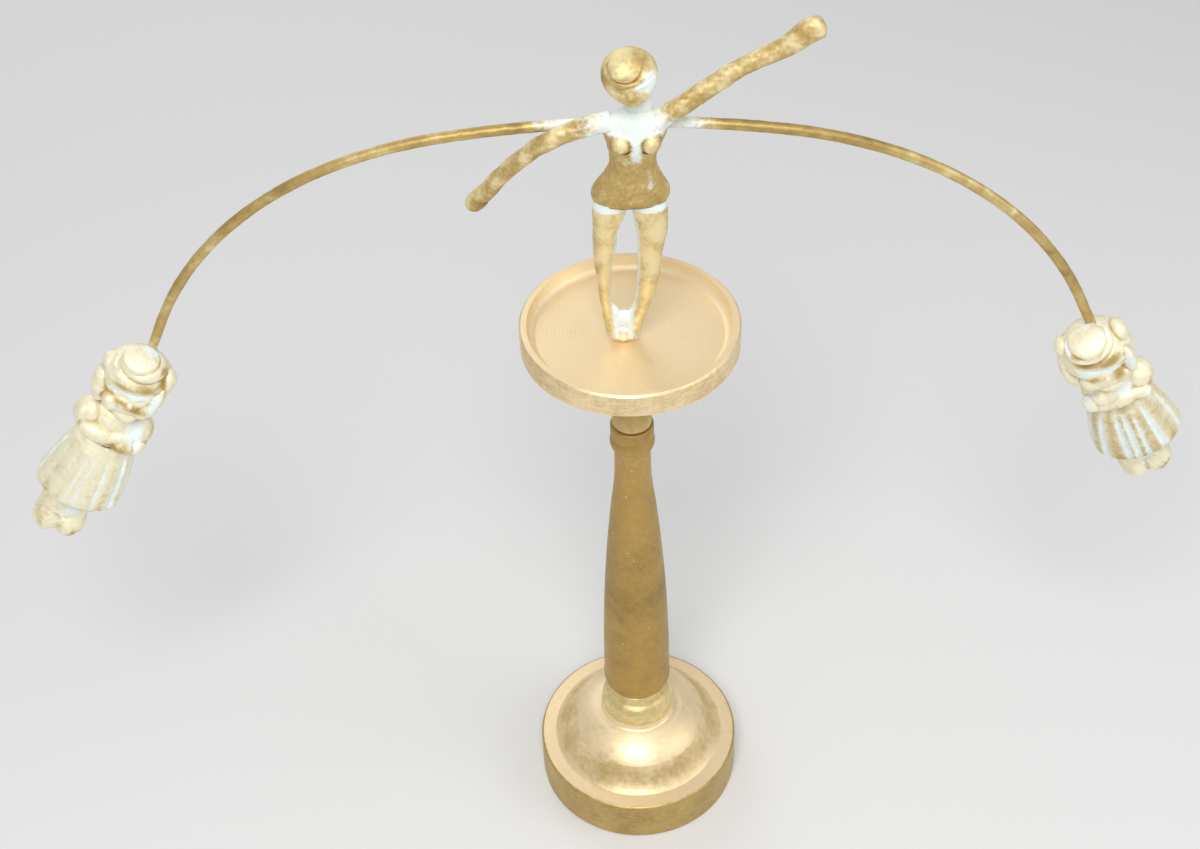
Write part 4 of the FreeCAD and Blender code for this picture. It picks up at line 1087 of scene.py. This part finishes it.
# The grooves between the pleats, degrees round the skirt from the right, each with its strength;
# and the browner panels, the same way
PLEATS = {
    "left": (((8, 0.6), (30, 0.8), (52, 0.7), (74, 0.9), (96, 0.6), (118, 0.8), (140, 0.7), (162, 0.6),
              (184, 0.7), (207, 0.4), (230, 0.35), (251, 0.5), (266, 0.55), (280, 0.3), (294, 0.6),
              (310, 0.3), (326, 1.3), (346, 0.9)),
             ((215, 0.25), (240, 0.12), (287, 0.14), (312, 0.3), (337, 0.2), (60, 0.2), (130, 0.3))),
    "right": (((12, 0.8), (33, 0.7), (55, 0.9), (76, 0.6), (98, 0.8), (120, 0.7), (142, 0.9), (163, 0.7),
               (187, 1.0), (214, 1.3), (247, 1.1), (263, 1.3), (281, 0.8), (307, 1.3), (342, 0.7)),
              ((200, 0.3), (231, 0.5), (255, 0.4), (272, 0.42), (294, 0.3), (325, 0.3), (45, 0.3),
               (110, 0.3), (152, 0.3))),
}


class TOY_OT_doll_skirts(DollPiece):
    """The dolls' pleated skirts"""
    bl_idname = "toy.doll_skirts"
    bl_label = "Dolls' skirts"
    part = "skirt"
    seed = 121

    def cast(self, which, girth, seed):
        """Ovals stacked down the doll; round each oval the radius dips in narrow grooves, e to the
        minus squared turn from each pleat's angle, which fade out towards the sash."""
        pleats, panels = PLEATS[which]
        rows, around = 150, 400
        course = spline(SKIRT, rows)
        drop = course[:, :1]
        turn = np.linspace(0, 2 * np.pi, around, endpoint=False)[None]
        bent = turn + 0.02 * np.sin(drop * 0.14 + 5 * turn + seed)

        def bands(places, width):
            total = np.zeros_like(bent)
            for angle, strength in places:
                away = np.angle(np.exp(1j * (bent - math.radians(angle))))
                total += strength * np.exp(-((away / math.radians(width)) ** 2))
            return total

        fade = rise(drop, 42, 6)
        groove = bands(pleats, 3.8) * fade
        ways = np.stack((np.cos(turn) + 0 * groove, np.sin(turn) + 0 * groove), -1)
        width, depth = course[:, 1:2] * girth, course[:, 2:3] * girth
        smooth = 1 / np.sqrt((ways[..., 0] / width) ** 2 + (ways[..., 1] / depth) ** 2)
        reach = smooth - 0.62 * groove + 0.10 * bands([(a, 1) for a, _ in pleats], 9.0) * fade
        aside = -0.6 * rise(drop, 41, 28)
        level = np.stack((aside + 0 * reach, 0 * reach, -drop + 0 * reach), -1)
        flat = np.concatenate((ways, 0 * reach[..., None]), -1)
        points = level + flat * reach[..., None]
        reach = reach + 0.13 * ripple(points, 6, seed) + 0.05 * ripple(points, 1.8, seed + 1)
        points = level + flat * reach[..., None]
        edge = rise(drop, 62, 8)
        points[..., 2] += 0.3 * np.sin(2 * turn + 1.1 * seed) * edge
        sash = rise(-drop, -45.5, 3)
        marks = {
            "dent": dents(reach, 6, 0.3) * 0.5,
            "wash": bands(pleats, 6.0) * fade * 1.15 + 0.35 * sash,
            "tone": (0.93 if which == "left" else 0.82) - bands(panels, 9.0) * (0.4 + 0.6 * edge),
            # painted shade: dark lines under the hem and at the sash
            "grime": 1.2 * rise(drop, 68.9, 0.3) + 1.0 * rise(-drop, -40.9, 0.4),
        }
        ends = (np.array((0, 0, -course[0, 0])), np.array((-0.6, 0, -course[-1, 0])))
        return points, ends, marks


class TOY_OT_doll_shoes(DollPiece):
    """The dolls' stubby legs and round shoes"""
    bl_idname = "toy.doll_shoes"
    bl_label = "Dolls' shoes"
    part = "shoes"
    seed = 141

    def cast(self, which, girth, seed):
        lobes = []
        for side in (-1, 1):
            lobes += [
                ((-2.0 + side * 3.3, 0, -80.4), (5.2 * girth, 6.2 * girth, 11.2)),
                ((-2.0 + side * 3.6, -2.4, -85.8), (5.0 * girth, 6.0 * girth, 5.8)),
            ]

        def welt(points, reach):
            """A faint line round the shoes above the sole."""
            return reach - 0.2 * np.exp(-(((points[..., 2] + 89.0) / 0.6) ** 2))

        points, ends, marks = star_piece(
            (-2.0, -1.0, -80.6), lobes, (130, 160), 1.0, welt, seed, 0.22
        )
        z = points[..., 2]
        marks["wash"] = 0.3 * rise(z, -88, 8) + spots(points, (
            (1.0, -6.0, -76.0, 3.0, 3.0, 4.0, 0.5), (-2.0, -6.6, -82.0, 2.0, 3.0, 6.0, 0.35)))
        marks["tone"] = 0.9 + spots(points, (
            (3.6, -6.6, -87.6, 3.4, 4.0, 3.0, -0.4), (-7.0, -6.0, -85.0, 2.4, 4.0, 4.4, -0.2)))
        # painted shade: a dark line at the top of the shoes, under the hem
        marks["grime"] = 1.1 * rise(z, -71.4, 0.6)
        return points, ends, marks


class TOY_OT_stage(Piece):
    """Plain floor, soft studio light and the camera at the photograph's angle"""
    bl_idname = "toy.stage"
    bl_label = "Stage"

    def make(self):
        scene = bpy.context.scene
        scene.view_settings.view_transform = "Standard"
        mesh = bpy.data.meshes.new("floor")
        reach = 4.0
        below = -0.0003
        corners = [(-reach, -reach, below), (reach, -reach, below), (reach, reach, below),
                   (-reach, reach, below)]
        mesh.from_pydata(corners, [], [(0, 1, 2, 3)])
        floor = bpy.data.objects.new("floor", mesh)
        scene.collection.objects.link(floor)
        material = bpy.data.materials.new("floor_paper")
        material.use_nodes = True
        shader = material.node_tree.nodes["Principled BSDF"]
        shader.inputs["Base Color"].default_value = (*colours().floor, 1)
        shader.inputs["Roughness"].default_value = 0.9
        mesh.materials.append(material)

        world = bpy.data.worlds.new("studio")
        world.use_nodes = True
        background = world.node_tree.nodes["Background"]
        background.inputs["Color"].default_value = (0.97, 0.98, 1.0, 1)
        background.inputs["Strength"].default_value = 0.46
        scene.world = world
        self.lamp("key", (-0.08, -0.68, 1.10), 0.55, 8.6)
        self.lamp("fill", (0.95, -0.3, 0.8), 0.9, 2.8)
        self.lamp("back", (-0.5, 1.0, 0.9), 0.9, 2.8)

        # the photo's camera: turns in radians, place in metres, and focal length in its 1200 pixels
        yaw, pitch, roll = -0.0260852, 0.7674840, -0.0385600
        stand_point, focal, width = (0, -0.40693, 0.57984), 1701.93, 1200
        ahead = Vector((math.sin(yaw) * math.cos(pitch), math.cos(yaw) * math.cos(pitch), -math.sin(pitch)))
        across = Vector((math.cos(yaw), -math.sin(yaw), 0))
        above = across.cross(ahead)
        right = across * math.cos(roll) + above * math.sin(roll)
        up = above * math.cos(roll) - across * math.sin(roll)
        data = bpy.data.cameras.new("photo_camera")
        data.sensor_fit = "HORIZONTAL"
        data.sensor_width = 36.0
        data.lens = focal / width * data.sensor_width
        data.clip_start = 0.01
        camera = bpy.data.objects.new("photo_camera", data)
        turn = Matrix((right, up, -ahead)).transposed().to_4x4()
        camera.matrix_world = Matrix.Translation(stand_point) @ turn
        scene.collection.objects.link(camera)
        scene.camera = camera

    def lamp(self, name, place, size, power):
        data = bpy.data.lights.new(name, "AREA")
        data.shape = "DISK"
        data.size = size
        data.energy = power
        lamp = bpy.data.objects.new(name, data)
        lamp.location = place
        aim = Vector((0, 0, 0.2)) - Vector(place)
        lamp.rotation_euler = aim.to_track_quat("-Z", "Y").to_euler()
        bpy.context.scene.collection.objects.link(lamp)


OPERATORS = (
    TOY_OT_stand,
    TOY_OT_felt,
    TOY_OT_rod,
    TOY_OT_legs,
    TOY_OT_torso,
    TOY_OT_head,
    TOY_OT_arms,
    TOY_OT_ankles,
    TOY_OT_doll_heads,
    TOY_OT_doll_busts,
    TOY_OT_doll_skirts,
    TOY_OT_doll_shoes,
    TOY_OT_stage,
)


class TOY_PT_panel(bpy.types.Panel):
    """Lists the pieces of the balancing toy"""
    bl_idname = "TOY_PT_panel"
    bl_label = "Balancing toy"
    bl_space_type = "VIEW_3D"
    bl_region_type = "UI"
    bl_category = "Balancing toy"

    def draw(self, context):
        for group in (context.scene.toy_sizes, context.scene.toy_colours):
            for name in group.bl_rna.properties.keys():
                if name not in ("rna_type", "name"):
                    self.layout.prop(group, name)
        for operator in OPERATORS:
            self.layout.operator(operator.bl_idname)


CLASSES = (ToySizes, ToyColours, *OPERATORS, TOY_PT_panel)


def register():
    for item in CLASSES:
        bpy.utils.register_class(item)
    bpy.types.Scene.toy_sizes = bpy.props.PointerProperty(type=ToySizes)
    bpy.types.Scene.toy_colours = bpy.props.PointerProperty(type=ToyColours)


def unregister():
    del bpy.types.Scene.toy_colours
    del bpy.types.Scene.toy_sizes
    for item in reversed(CLASSES):
        bpy.utils.unregister_class(item)


def main():
    register()
    for operator in OPERATORS:
        group, name = operator.bl_idname.split(".")
        getattr(getattr(bpy.ops, group), name)()


if __name__ == "__main__":
    main()
